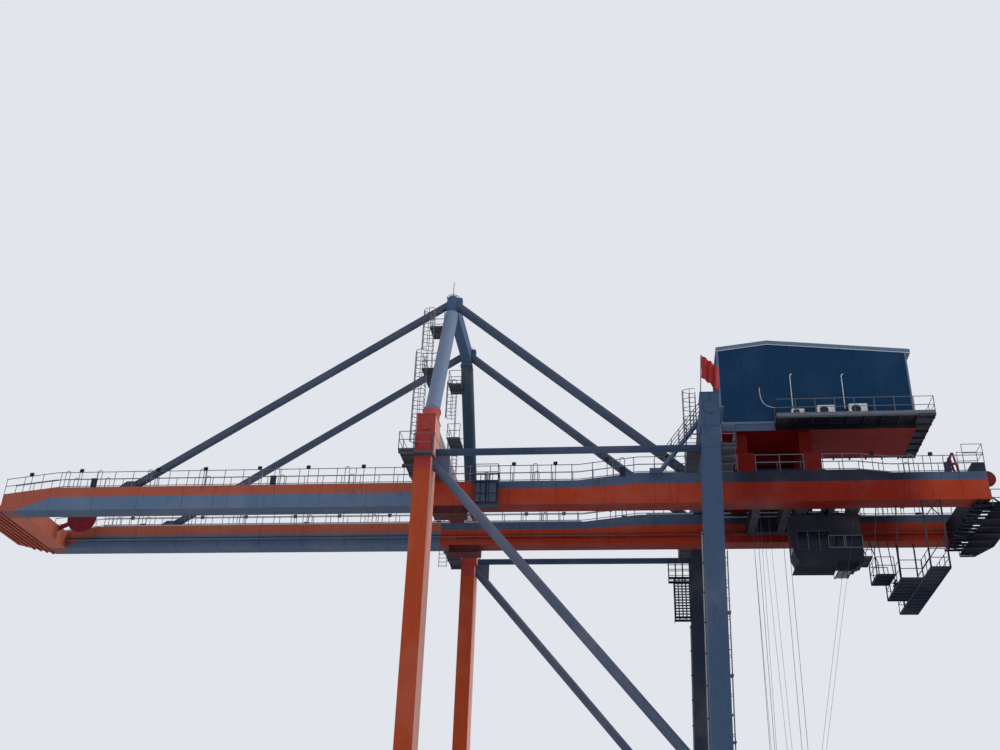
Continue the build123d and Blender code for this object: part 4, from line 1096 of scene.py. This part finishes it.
# %% [markdown]
# The galleries at the girders' height and the landings on the posts are light gratings with
# railings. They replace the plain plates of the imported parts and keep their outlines.

# %% Galleries and landings
gallery_top, shelf_top = 14600, 14400
water, land = [], []
for side in (-1, 1):
    water.append(grating((-740, -245), (side * 5235, side * 2100), gallery_top))
    water.append(grating((-245, 310), (side * 5217.5, side * 5497), shelf_top))
    for y in (2500, 3400, 4300, 5150):
        water.append(bar((-740, side * y - 25, 14470), (-245, side * y + 25, 14545), 4.0))
    land.append(grating((7527, 7925), (side * 4650, side * 3220), gallery_top, 30.0))
    land.append(grating((8458, 8896), (side * 5235, side * 3320), gallery_top, 30.0))
    for y in (3450, 4000, 4550, 5100):
        land.append(bar((8456, side * y - 25, 14480), (8896, side * y + 25, 14545), 4.0))
for name, pieces in (("waterside", water), ("landside", land)):
    gratings = join(f"{name}_gallery_gratings", pieces)
    done(gratings, dark_steel, replaces=[f"{name}_galleries"])

lines = two_sides([
    [(-728, 2130, gallery_top), (-728, 5223, gallery_top), (-260, 5223, gallery_top)],
    [(-240, 5485, shelf_top), (300, 5485, shelf_top)],
    [(-240, 5230, shelf_top), (-240, 5485, shelf_top)],
    [(300, 5230, shelf_top), (300, 5485, shelf_top)],
    [(7540, 3240, gallery_top), (7540, 4640, gallery_top), (7915, 4640, gallery_top)],
    [(8475, 5223, gallery_top), (8884, 5223, gallery_top), (8884, 3340, gallery_top)],
])
done(railing("gallery_railings", lines), zinc_steel)

decks, deck_lines = [], []
for outer, inner, top in ((3250.0, 1950.0, 18320.0), (2445.0, 1650.0, 20350.0)):
    for side in (-1, 1):
        decks.append(grating((-620, -140), (side * outer, side * inner), top, 30.0, 400.0))
        y = side * (outer - 300)
        decks.append(bar((-600, y - 20, top - 150), (-120, y + 20, top - 55), 4.0))
    deck_lines += two_sides([
        [(-150, outer - 12, top), (-608, outer - 12, top)],
        [(-608, outer - 260, top), (-608, inner + 12, top), (-150, inner + 12, top)],
    ])
done(join("post_landing_gratings", decks), dark_steel, replaces=["post_landings"])
done(railing("post_landing_railings", deck_lines), zinc_steel)
print("galleries and landings in place")

# %% [markdown]
# Under the landside end hang a long gangway and two smaller decks, one a step higher. Square posts
# and round braces carry them from the girders.

# %% Platforms hung under the landside end
low_deck, step_deck = 12020, 12330
hung = [grating((14430, 15010), (-2085, 2540), low_deck, 30.0, 330.0),
        grating((13790, 14430), (-1100, 1100), low_deck, 30.0, 330.0),
        grating((13230, 13790), (-500, 500), step_deck, 30.0, 330.0)]
for k in range(3):
    tread_z = 12040 + 95 * k
    hung.append(bar((13795 + 10 * k, -200, tread_z), (13905 - 10 * k, 200, tread_z + 22), 2.0))
done(join("hung_platform_gratings", hung), navy_coat, replaces=["hung_platforms"])

hung_lines = [
    [(14440, -1110, low_deck), (14440, -2075, low_deck), (15000, -2075, low_deck), (15000, 2530, low_deck),
     (14440, 2530, low_deck), (14440, 1110, low_deck)],
    [(14430, 1090, low_deck), (13800, 1090, low_deck), (13800, 510, low_deck)],
    [(13800, -510, low_deck), (13800, -1090, low_deck), (14430, -1090, low_deck)],
    [(13790, -490, step_deck), (13240, -490, step_deck), (13240, 490, step_deck), (13790, 490, step_deck)],
]
done(railing("hung_platform_railings", hung_lines), navy_coat)

posts, braces = [], []
for x in (14452.0, 14988.0):
    for y, head in ((-2060.0, 14300), (1800.0, 14080)):
        posts.append(block(x, y, 11985, head, 22, 22, 4.0))
for x, deck, inner, ends in ((13810.0, low_deck, 1085.0, (-1, 1)), (13250.0, step_deck, 490.0, (-1, 1)),
                             (13520.0, step_deck, 490.0, (1,)), (14100.0, low_deck, 1085.0, (1,))):
    for side in ends:
        braces.append([(x, side * inner, deck - 20), (x, side * inner, deck + 700), (x, side * 1480, 14080)])
for start_z, end_z in ((13500, 14150), (14150, 13500), (13450, 13450)):
    braces.append([(14452, -2060, start_z), (14988, -2060, end_z)])
braces.append([(14988, -2060, 13000), (14988, 1800, 13000)])
done(join("hung_platform_posts", posts), navy_coat)
done(pipework("hung_platform_braces", braces, 16.0), navy_coat)
print("hung platforms in place")

# %% [markdown]
# At the landside end, a dark platform with cut corners hangs behind the girders, made of the same
# bars, and a small raised deck on the near girder has its own railing beside a maroon bracket.

# %% Landside end
end_top = 13850.0
slats = []
for k in range(18):
    x = 16470 + 45 * k
    reach = min(2145, 2300 - max(0, x - 16950) * 3.3)
    slats.append(bar((x, -reach, end_top - 45), (x + 16, reach, end_top), 2.0))
for y in (-1900, -1250, -600, 0, 600, 1250, 1900):
    far = 17290 - max(0, abs(y) - 1130) * 0.4
    slats.append(bar((16452, y - 22, end_top - 110), (far, y + 22, end_top - 45), 3.0))
done(join("end_platform_slats", slats), black_coat, replaces=["end_platform"])

edge_line = [(16465, -2075, end_top), (16920, -2060, end_top), (17268, -1130, end_top),
             (17268, 1130, end_top), (16920, 2060, end_top), (16465, 2075, end_top)]
frame_runs = [[(x, y, z - drop) for x, y, z in edge_line] for drop in (30, 90)]
for x, y, z in edge_line[1:-1]:
    frame_runs.append([(x, y, z - 90), (16440, math.copysign(min(abs(y), 1900), y), z + 420)])
    frame_runs.append([(x, y, z), (x, y, z + 545)])
done(pipework("end_platform_frame", frame_runs, 26.0, 8), black_coat)
done(railing("end_platform_railing", [edge_line]), dark_steel)

deck_line = [(15850, -2075, 15270), (16440, -2075, 15270), (16440, -1480, 15270), (15850, -1480, 15270)]
done(railing("raised_deck_railing", [deck_line], 11.0, 600.0), zinc_steel)
bracket = [[(15575, -1950, 15600), (15575, -1600, 15600)]]
for y in (-1950.0, -1600.0):
    bracket.append([(15340, y, 14990), (15560, y, 15610), (15600, y, 15610), (15700, y, 14980)])
    bracket.append([(15440, y, 15270), (15655, y, 15270)])
done(pipework("end_bracket", bracket, 38.0, 8), maroon_coat)
print("landside end in place")

# %% [markdown]
# Between the end beam and the platform run the beams, trays and conduits that bring the power
# lines to the trolley. From below, they fill the gap with long dark lines.

# %% Beams and conduits over the end platform
under_end = []
for y in range(-1950, 2000, 300):
    under_end.append(bar((15980, y - 20, 13895), (17040 if abs(y) < 1500 else 16880, y + 20, 13960), 3.0))
for x in (16120.0, 16330.0):
    under_end.append(block(x, 0, 13962, 14072, 30, 2060, 4.0))
for y in (-1650.0, -300.0, 1050.0):
    under_end.append(bar((16010, y - 110, 13975), (16440, y + 110, 14190), 6.0))
    under_end.append(bar((16460, y - 90, 13965), (16800, y + 90, 14120), 6.0))
done(join("end_beams", under_end), black_coat)

conduits = []
for k in range(11):
    y = -1880 + 372 * k
    dip = 40 + 18 * (k % 3)
    conduits.append([(15990, y, 13990), (16150, y, 13990 - dip * 0.4), (16400, y + 20, 13990 - dip),
                     (16700, y + 30, 13985 - dip * 0.5), (16860, y + 20, 13990)])
done(pipework("end_conduits", conduits, 15.0), slate_coat)
trays = twins((8300, 1426, 14940), (16300, 1457, 14974), 4.0)
done(join("inner_cable_trays", trays), pale_steel)
print("end beams and conduits in place")

# %% [markdown]
# The far landside leg carries a caged landing and a dense caged ladder below it, both dark. They
# show only on that leg in the picture. Conduits climb the waterside face of both legs in clamps,
# short rest plates stand on the other face, and a small ladder hangs under each girder.

# %% Far leg landing, leg conduits and hanging ladders
rest = [grating((7150, 7905), (4390, 4900), 13890, 25.0, 200.0),
        grating((7320, 7878), (4430, 4860), 12470, 25.0, 200.0)]
for low, high in (((7150, 4390), (7905, 4415)), ((7150, 4875), (7905, 4900)), ((7150, 4390), (7175, 4900))):
    rest.append(bar((*low, 13810), (*high, 13888), 3.0))
rest.append(bar((7310, 4430, 12380), (7340, 4860, 12470), 3.0))
done(join("far_leg_landings", rest), black_coat)

runs = [[(x, y, 13890), (x, y, 14560)] for x in (7165, 7410, 7655, 7900) for y in (4402, 4888)]
for z in (14110, 14335, 14560):
    runs.append([(7900, 4402, z), (7165, 4402, z), (7165, 4888, z), (7900, 4888, z)])
for k in range(14):
    z = 12480 + 100 * k
    runs.append([(7875, 4440, z), (7360, 4440, z), (7325, 4645, z), (7360, 4850, z), (7875, 4850, z)])
straps = [(x, y) for x in (7360, 7480, 7610, 7740, 7870) for y in (4440, 4850)]
straps += [(7330, y) for y in (4545, 4645, 4745)]
runs += [[(x, y, 12470), (x, y, 13840)] for x, y in straps]
done(pipework("far_leg_cage", runs, 13.0), black_coat)

runs = two_sides([[(landside_face(z, -1) - 30, 4560, z) for z in (5400, 12200)]])
done(pipework("leg_conduits", runs, 22.0, 8), pale_steel)
clamps = []
for side in (-1, 1):
    for k in range(9):
        z = 5500 + 830 * k
        x = landside_face(z, -1)
        clamps.append(bar((x - 62, side * 4560 - 34, z - 20), (x, side * 4560 + 34, z + 20), 3.0))
        x, y = landside_face(min(z + 300, 11500), 1), side * 4810
        if z < 11200 and k % 2:
            clamps.append(bar((x - 4, y - 150, z + 180), (x + 108, y + 150, z + 205), 3.0))
        else:
            clamps.append(bar((x - 4, y - 125, z), (x + 40, y - 110, z + 30), 2.0))
done(join("leg_conduit_clamps", clamps), dark_steel)

hang = [[(x, 1770, 14080), (x, 1770, 13400)] for x in (-600, -340)]
hang += [[(-600, 1770, 13440 + 140 * k), (-340, 1770, 13440 + 140 * k)] for k in range(5)]
done(pipework("girder_hanging_ladder", two_sides(hang), 11.0), zinc_steel)
print("far leg landing, conduits and hanging ladders in place")

# %% [markdown]
# The trolley is a dark frame with the driver's cab below it. The cab's glass is made as separate
# panes behind the openings, with slim frames, and behind the cab hangs a landing with side panels,
# a window band and a few open steps. All of it rides on the trolley's body.

# %% Cab glazing and landing
cab_x0, cab_x1, cab_y = 10850.0, 12150.0, 480.0
sill, lintel = 13120.0, 13740.0
panes, frames = [], []
for y in (24 - cab_y, cab_y - 24):
    panes.append(bar((cab_x0 + 100, y - 4, sill - 20), (cab_x1 - 100, y + 4, lintel + 20), 1.0))
    for x in (cab_x0 + 140, cab_x0 + 470, cab_x0 + 810, cab_x1 - 140):
        frames.append(block(x, y, sill, lintel, 14, 14, 3.0))
    for z in (sill, lintel):
        frames.append(bar((cab_x0 + 130, y - 14, z - 12), (cab_x1 - 130, y + 14, z + 12), 3.0))
for x in (cab_x0 + 22, cab_x1 - 22):
    panes.append(block(x, 0, sill - 20, lintel + 20, 4, cab_y - 90, 1.0))
    frames += [block(x, y, sill, lintel, 14, 14, 3.0) for y in (-340, 0, 340)]
done(join("cab_window_panes", panes), cab_glass, "trolley")
done(join("cab_window_frames", frames), dark_steel, "trolley")

panels = twins((12155, 462, 12800), (12940, 478, 13240), 3.0)
panels += twins((12155, 462, 13590), (12940, 478, 14248), 3.0)
panels += [bar((12925, -478, 12800), (12941, 478, 14248), 3.0),
           bar((12152, -470, 12786), (12938, 470, 12812), 3.0),
           row(bar((12165, -460, 12752), (12930, -430, 12790), 3.0), (0, 98, 0), 10),
           row(bar((10870, -470, 12612), (12130, -440, 12642), 3.0), (0, 101, 0), 10)]
done(join("cab_landing_panels", panels), cab_coat, "trolley")
side_panes = twins((12180, 467, 13230), (12920, 473, 13600), 1.0)
done(join("cab_landing_panes", side_panes), cab_glass, "trolley")

band = []
for x in (11920.0, 12380.0, 12430.0, 12935.0):
    band += twins((x, 478, 13190), (x + 26, 490, 13580), 2.0)
for z in (13175.0, 13560.0):
    band += twins((11920, 478, z), (12962, 490, z + 26), 2.0)
done(join("cab_window_band", band), zinc_steel, "trolley")

steps = [row(bar((12150, -480, 12515), (12560, -466, 12540), 2.0), (0, 94.6, 0), 11)]
steps += [bar((x, -480, 12490), (x + 20, 480, 12515), 2.0) for x in (12150, 12345, 12540)]
steps += twins((12130, 460, 12490), (12150, 480, 12700), 2.0)
steps.append(row(bar((12600, -240, 12560), (12690, 240, 12575), 2.0), (110, 0, 90), 3))
done(join("cab_steps", steps), black_coat, "trolley")
step_rails = two_sides([
    [(12540, 250, 12525), (12945, 250, 12860)], [(12550, 470, 12530), (12550, 470, 12790)],
    [(12935, 450, 12900), (13180, 450, 12900), (13180, 450, 13350), (12935, 450, 13350)],
    [(12935, 450, 13120), (13180, 450, 13120)],
])
step_rails += [[(13180, -450, z), (13180, 450, z)] for z in (12900, 13350)]
done(pipework("cab_step_rails", step_rails, 12.0), black_coat, "trolley")
ledge = grating((12940, 13190), (-460, 460), 12912, 30.0, 400.0, "cab_rear_step")
done(ledge, dark_steel, "trolley")
print("cab dressed")

# %% [markdown]
# On the trolley's frame sit rope sheaves between cheek plates, two drives and a cable tray along
# each side. Thin ropes run down from it and steady the headblock.

# %% Trolley gear and steadying ropes
sheave_z = 14490
sheaves, drives = [], []
for x in (9790.0, 10710.0):
    for y in (-620.0, 620.0):
        sheaves.append(drum((x, y - 32, sheave_z), (x, y + 32, sheave_z), 150.0, 28, 5.0))
        for face in (-1, 1):
            sheaves.append(drum((x, y + face * 33, sheave_z), (x, y + face * 46, sheave_z), 48.0, 16, 3.0))
            sheaves.append(block(x, y + face * 50, 14330, 14640, 40, 6, 3.0))
done(join("trolley_rope_sheaves", sheaves), maroon_coat, "trolley")
for x in (11250.0, 12050.0):
    drives.append(bar((x - 190, -360, 14500), (x + 190, -60, 14668), 10.0))
    drives.append(drum((x - 170, 220, 14580), (x + 170, 220, 14580), 78.0, 24, 6.0))
    drives.append(row(drum((x - 150, 220, 14580), (x - 140, 220, 14580), 86.0), (30, 0, 0), 10))
done(join("trolley_drives", drives), blue_coat, "trolley")
trays = twins((9660, 1080, 14262), (12890, 1160, 14300), 3.0)
done(join("trolley_cable_trays", trays), zinc_steel, "trolley")

steady = two_sides([
    [(9845, 1150, 14270), (9830, 500, 4690)],
    [(10140, 700, 14270), (10330, 500, 4690)],
    [(12780, 700, 14270), (10690, 500, 4690)],
])
done(pipework("steadying_ropes", steady, 5.0), dark_steel, "trolley")
print("trolley gear and", len(steady), "steadying ropes in place")

# %% [markdown]
# The spreader and its headblock hang below the picture, so they follow what such gear has: end
# guides at the corners, sheaves on the headblock, and a box for the drives that turn the locks.

# %% Headblock and spreader gear
block_low, block_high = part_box("headblock")
mid_x = (block_low[0] + block_high[0]) / 2 * 1000 - drawing_shift * 1000
sheave_z = block_high[2] * 1000 - 120
sheaves = [drum((mid_x + dx, y - 30, sheave_z), (mid_x + dx, y + 30, sheave_z), 112.0, 24, 4.0)
           for dx in (-460.0, 460.0) for y in (-420.0, 420.0)]
done(join("headblock_sheaves", sheaves), maroon_coat, "trolley")
drives = [block(mid_x, 0, 4300, 4398, 260, 560, 10.0)]
drives += [drum((mid_x - 200, y, 4330), (mid_x + 200, y, 4330), 62.0, 20, 5.0) for y in (-1500, 1500)]
done(join("spreader_drives", drives), blue_coat, "trolley")
guides = [block(mid_x + dx, y, 4130, 4330, 70, 40, 6.0) for dx in (-520, 520) for y in (-2996, 2996)]
done(join("spreader_corner_guides", guides), yellow_coat, "trolley")
print("spreader gear in place")

# %% [markdown]
# The rope wheels at both ends of the girders are turned castings. Their packed discs stay, and get
# a raised rim, a hub and a ring of bolts on each face, which is what catches the light.

# %% Rope wheel faces
end_face_x = 16452
wheel_parts = []
for x, y, z, radius in ((-13070.0, 730.0, 14900.0, 520.0),
                        (16530.0, -1772.5, 14840.0, 250.0), (16530.0, 1772.5, 14840.0, 250.0)):
    for face in (-1, 1):
        flat = y + face * 30
        rim, web = circle((x, flat, z), radius - 14, 36), circle((x, flat, z), radius * 0.72, 30)
        if radius < 300:
            rim, web = ([place for place in ring if place[0] > end_face_x] for ring in (rim, web))
        wheel_parts.append(pipework("rim", [rim], 12.0))
        wheel_parts.append(pipework("web", [web], 7.0))
        wheel_parts.append(drum((x, flat, z), (x, flat + face * 26, z), radius * 0.2, 24, 4.0))
        bolt = drum((x + radius * 0.3, flat, z), (x + radius * 0.3, flat + face * 16, z), 9.0, 6)
        wheel_parts.append(around(bolt, (x, y, z), 8, "Y"))
done(join("rope_wheel_faces", wheel_parts), maroon_coat)
print("rope wheels dressed")

# %% [markdown]
# The boom ends in a sloping nose of plates with ribs across it, and along both girders stand the
# small things that break the line of the handrails: lamps on brackets, boxes and rounded gate hoops.

# %% Boom nose and things along the handrails
ribs = []
for k in range(6):
    x = -14560 - 250 * k
    z = 14075 + 360 * (-14450 - x) / 1550
    half = 2085 - max(0.0, -15300 - x) * 0.55 - 10
    ribs.append(bar((x - 22, -half, z - 46), (x + 22, half, z + 8), 4.0))
done(join("boom_nose_ribs", ribs), tip_coat)

girder_top = [(-14450, 14650), (-12750, 14860), (4300, 14860), (6150, 15085),
              (12750, 15085), (13750, 14970), (16450, 14970)]
lamp_places = [-13600, -11900, -9300, -7700, -5900, -4300, -2500, -1200,
               2300, 3600, 5200, 7000, 13200, 14900]
hoop_places = (-12450, -11350, -9650, -7900, -5400, -3100, 2900, 5600, 14250)
hoop_shape = [(0, 0), (0, 520), (22, 575), (70, 590), (118, 575), (140, 520), (140, 0)]
lamps, arms, hoops, cabinets = [], [], [], []
for k, x in enumerate(lamp_places):
    z = level_at(girder_top, x)
    for side in (-1, 1):
        y = side * 2055
        lamp_y = y + side * 70
        arms.append([(x, y, z + 20), (x, y, z + 500), (x, lamp_y, z + 560)])
        lamps.append(block(x, lamp_y, z + 505, z + 605, 62, 34, 8.0))
        fin = bar((x - 55, lamp_y - 30, z + 602), (x - 49, lamp_y + 30, z + 618), 1.5)
        lamps.append(row(fin, (14, 0, 0), 9))
        if k % 3 == 1:
            cabinets.append(bar((x + 380, y - 60, z + 2), (x + 560, y + 20, z + 290), 6.0))
            cabinets.append(bar((x + 372, y - 66, z + 286), (x + 568, y + 26, z + 298), 3.0))
for x in hoop_places:
    z = level_at(girder_top, x)
    hoops += two_sides([[(x + dx, y, z + dz) for dx, dz in hoop_shape] for y in (2070, 1475)])
done(join("girder_lamps", lamps), black_coat)
done(pipework("girder_lamp_arms", arms, 11.0), dark_steel)
done(join("girder_boxes", cabinets), navy_coat)
done(pipework("handrail_gate_hoops", hoops, 12.5), zinc_steel)

trays = twins((6400, 1460, 15086), (12700, 1496, 15130), 3.0)
for start, end in ((200, 4250), (-12600, -300)):
    trays += twins((start, 1460, 14861), (end, 1496, 14900), 3.0)
done(join("girder_cable_trays", trays), pale_steel)
print(len(lamp_places) * 2, "lamps and", len(hoops), "gate hoops along the girders")

# %% [markdown]
# The station beside the near girder is a dark cabinet with a door, louvres and a rail on its roof,
# and the stair to the house gets its handrails along the treads' own places.

# %% Station, stair rails and rod foot
station = [bar((1180, -2512, 14020), (1470, -2500, 14640), 5.0),
           bar((1520, -2512, 14020), (1800, -2500, 14640), 5.0),
           bar((1440, -2522, 14300), (1456, -2508, 14380), 3.0),
           row(bar((1550, -2518, 14080), (1770, -2506, 14092), 2.0), (0, 0, 32), 8),
           bar((1095, -2520, 14700), (1875, -2080, 14728), 5.0)]
done(join("station_door_and_louvres", station), slate_coat)
cage = [[(x, -2545, 13900), (x, -2545, 14900)] for x in (1080.0, 1330.0, 1590.0, 1880.0)]
cage += [[(1080, -2545, z), (1880, -2545, z)] for z in (13910, 14280, 14640, 14900)]
cage += [[(x, -2095, z), (x, -2545, z)] for x in (1080, 1880) for z in (13910, 14900)]
done(pipework("station_frame", cage, 15.0), navy_coat)
horn = drum((1490, -2440, 14735), (1490, -2440, 15010), 62.0, 20, 6.0, "station_horn")
done(horn, pale_steel)
roof_edge = [(1110, -2100, 14730), (1110, -2500, 14730), (1860, -2500, 14730), (1860, -2100, 14730)]
done(railing("station_roof_rail", [roof_edge]), dark_steel)

treads = []
for island in islands("house_stair"):
    low, high, spans = extent(island)
    if spans[2] < 40 and spans[0] < 200:
        treads.append((*((a + b) / 2 for a, b in zip(low, high)), spans[1]))
treads.sort()
stair_runs = []
for side in (-1, 1):
    for level in (275.0, 545.0):
        ends = (treads[0], treads[-1])
        stair_runs.append([(x, y + side * width / 2, z + level) for x, y, z, width in ends])
    for x, y, z, width in treads[::3]:
        stair_runs.append([(x, y + side * width / 2, z), (x, y + side * width / 2, z + 545)])
done(pipework("house_stair_rails", stair_runs, 12.5), zinc_steel)

rod_foot = drum((0, -1800, 21845), (0, -1800, 21905), 34.0, 16, 14.0, "lightning_rod_foot")
done(rod_foot, dark_steel)
print(len(treads), "treads have rails")

# %% [markdown]
# Each leaning post ends in a round head under the apex beam. Two raised rings go round it, and a
# circle of bolt heads holds its cover.

# %% Rings and bolts on the posts' heads
rings, bolts = [], []
for y in (-1800, 1800):
    rings += [circle((0, y, z), 214, 32, 0, 1) for z in (21124.0, 21836.0)]
    bolt = drum((196, y, 21850), (196, y, 21862), 9.0, 6)
    bolts.append(around(bolt, (0, y, 21850), 16, "Z"))
done(pipework("node_rings", rings, 11.0), node_coat)
done(join("node_bolts", bolts), dark_steel)
print("post heads dressed")

# %% [markdown]
# The flag is a plain red sheet tied to the leaning pole. Its free edge has fallen in the still air,
# so it hangs in deep folds that widen away from the pole. The folds are modelled as a wave whose
# depth grows from nothing at the pole.

# %% Flag
pole_foot, pole_head = Vector((7985.0, -5120.0, 16210.0)), Vector((8053.0, -5120.0, 17480.0))
hoist, span, top_fall, end_fall = 740.0, 480.0, 440.0, 30.0
first_tie = 15.0
folds, fold_depth = 3.2, 52.0
deselect()
bpy.ops.mesh.primitive_grid_add(x_subdivisions=60, y_subdivisions=26, size=1, location=(0, 0, 0))
flag_sheet = bpy.context.object
for vertex in flag_sheet.data.vertices:
    u, v = vertex.co.x + 0.5, vertex.co.y + 0.5
    up_pole = (first_tie + hoist * (1 - v)) / (pole_head - pole_foot).length
    on_pole = pole_head + (pole_foot - pole_head) * up_pole
    fall = top_fall * u ** 1.15 + end_fall * u * (1 - v)
    depth = fold_depth * min(1.0, u * 3.0) * (0.75 + 0.25 * (1 - v))
    wave = math.sin(u * math.tau * folds + (1 - v) * 0.9) * depth
    sag = 18 * u * math.sin(v * math.pi)
    x = on_pole.x + 16 + span * u + 6 * math.sin(v * 7)
    vertex.co = at(x, pole_foot.y + wave, on_pole.z - fall - sag)
flag_sheet.name = "flag_cloth"
bpy.ops.object.shade_smooth()
bpy.ops.object.modifier_add(type="SOLIDIFY")
flag_sheet.modifiers[-1].thickness = 0.0015
bpy.ops.object.modifier_apply(modifier=flag_sheet.modifiers[-1].name)
done(flag_sheet, red_bunting, replaces=["flag"])
print("flag hung")

# %% [markdown]
# The travel wheels stand out of the picture, but a crane is walked round. Each packed wheel gets a
# tread between two flanges and a hub with a ring of bolts on each side.

# %% Travel wheels and bogie bolts
wheels, sizes = [], []
for island in islands("rail_wheels"):
    low, high, spans = extent(island)
    if spans[2] > 150:
        wheels.append([(a + b) / 2 for a, b in zip(low, high)])
        sizes.append(spans)
x, y, z = wheels[0]
half, radius = sizes[0][0] / 2, sizes[0][2] / 2
parts = [drum((x - half + 2, y, z), (x + half - 2, y, z), radius * 0.9, 40, 3.0)]
for face in (-1, 1):
    rim_x = x + face * half
    parts.append(drum((rim_x - face * 16, y, z), (rim_x, y, z), radius, 40, 4.0))
    parts.append(drum((rim_x, y, z), (rim_x + face * 3, y, z), radius * 0.42, 24, 1.0))
moves = [[b - a for a, b in zip(wheels[0], place)] for place in wheels]
done(spread(join("travel_wheels", parts), moves), worn_steel)

places = []
for x, y, z in wheels:
    for face in (-1, 1):
        places += circle((x + face * (half + 5), y, z), 62, 6, 1, 2)[:-1]
x, y, z = places[0]
bolt = drum((x - 5, y, z), (x + 5, y, z), 7.0, 6)
moves = [[b - a for a, b in zip(places[0], place)] for place in places]
done(spread(bolt, moves), dark_steel)
print(len(wheels), "travel wheels")
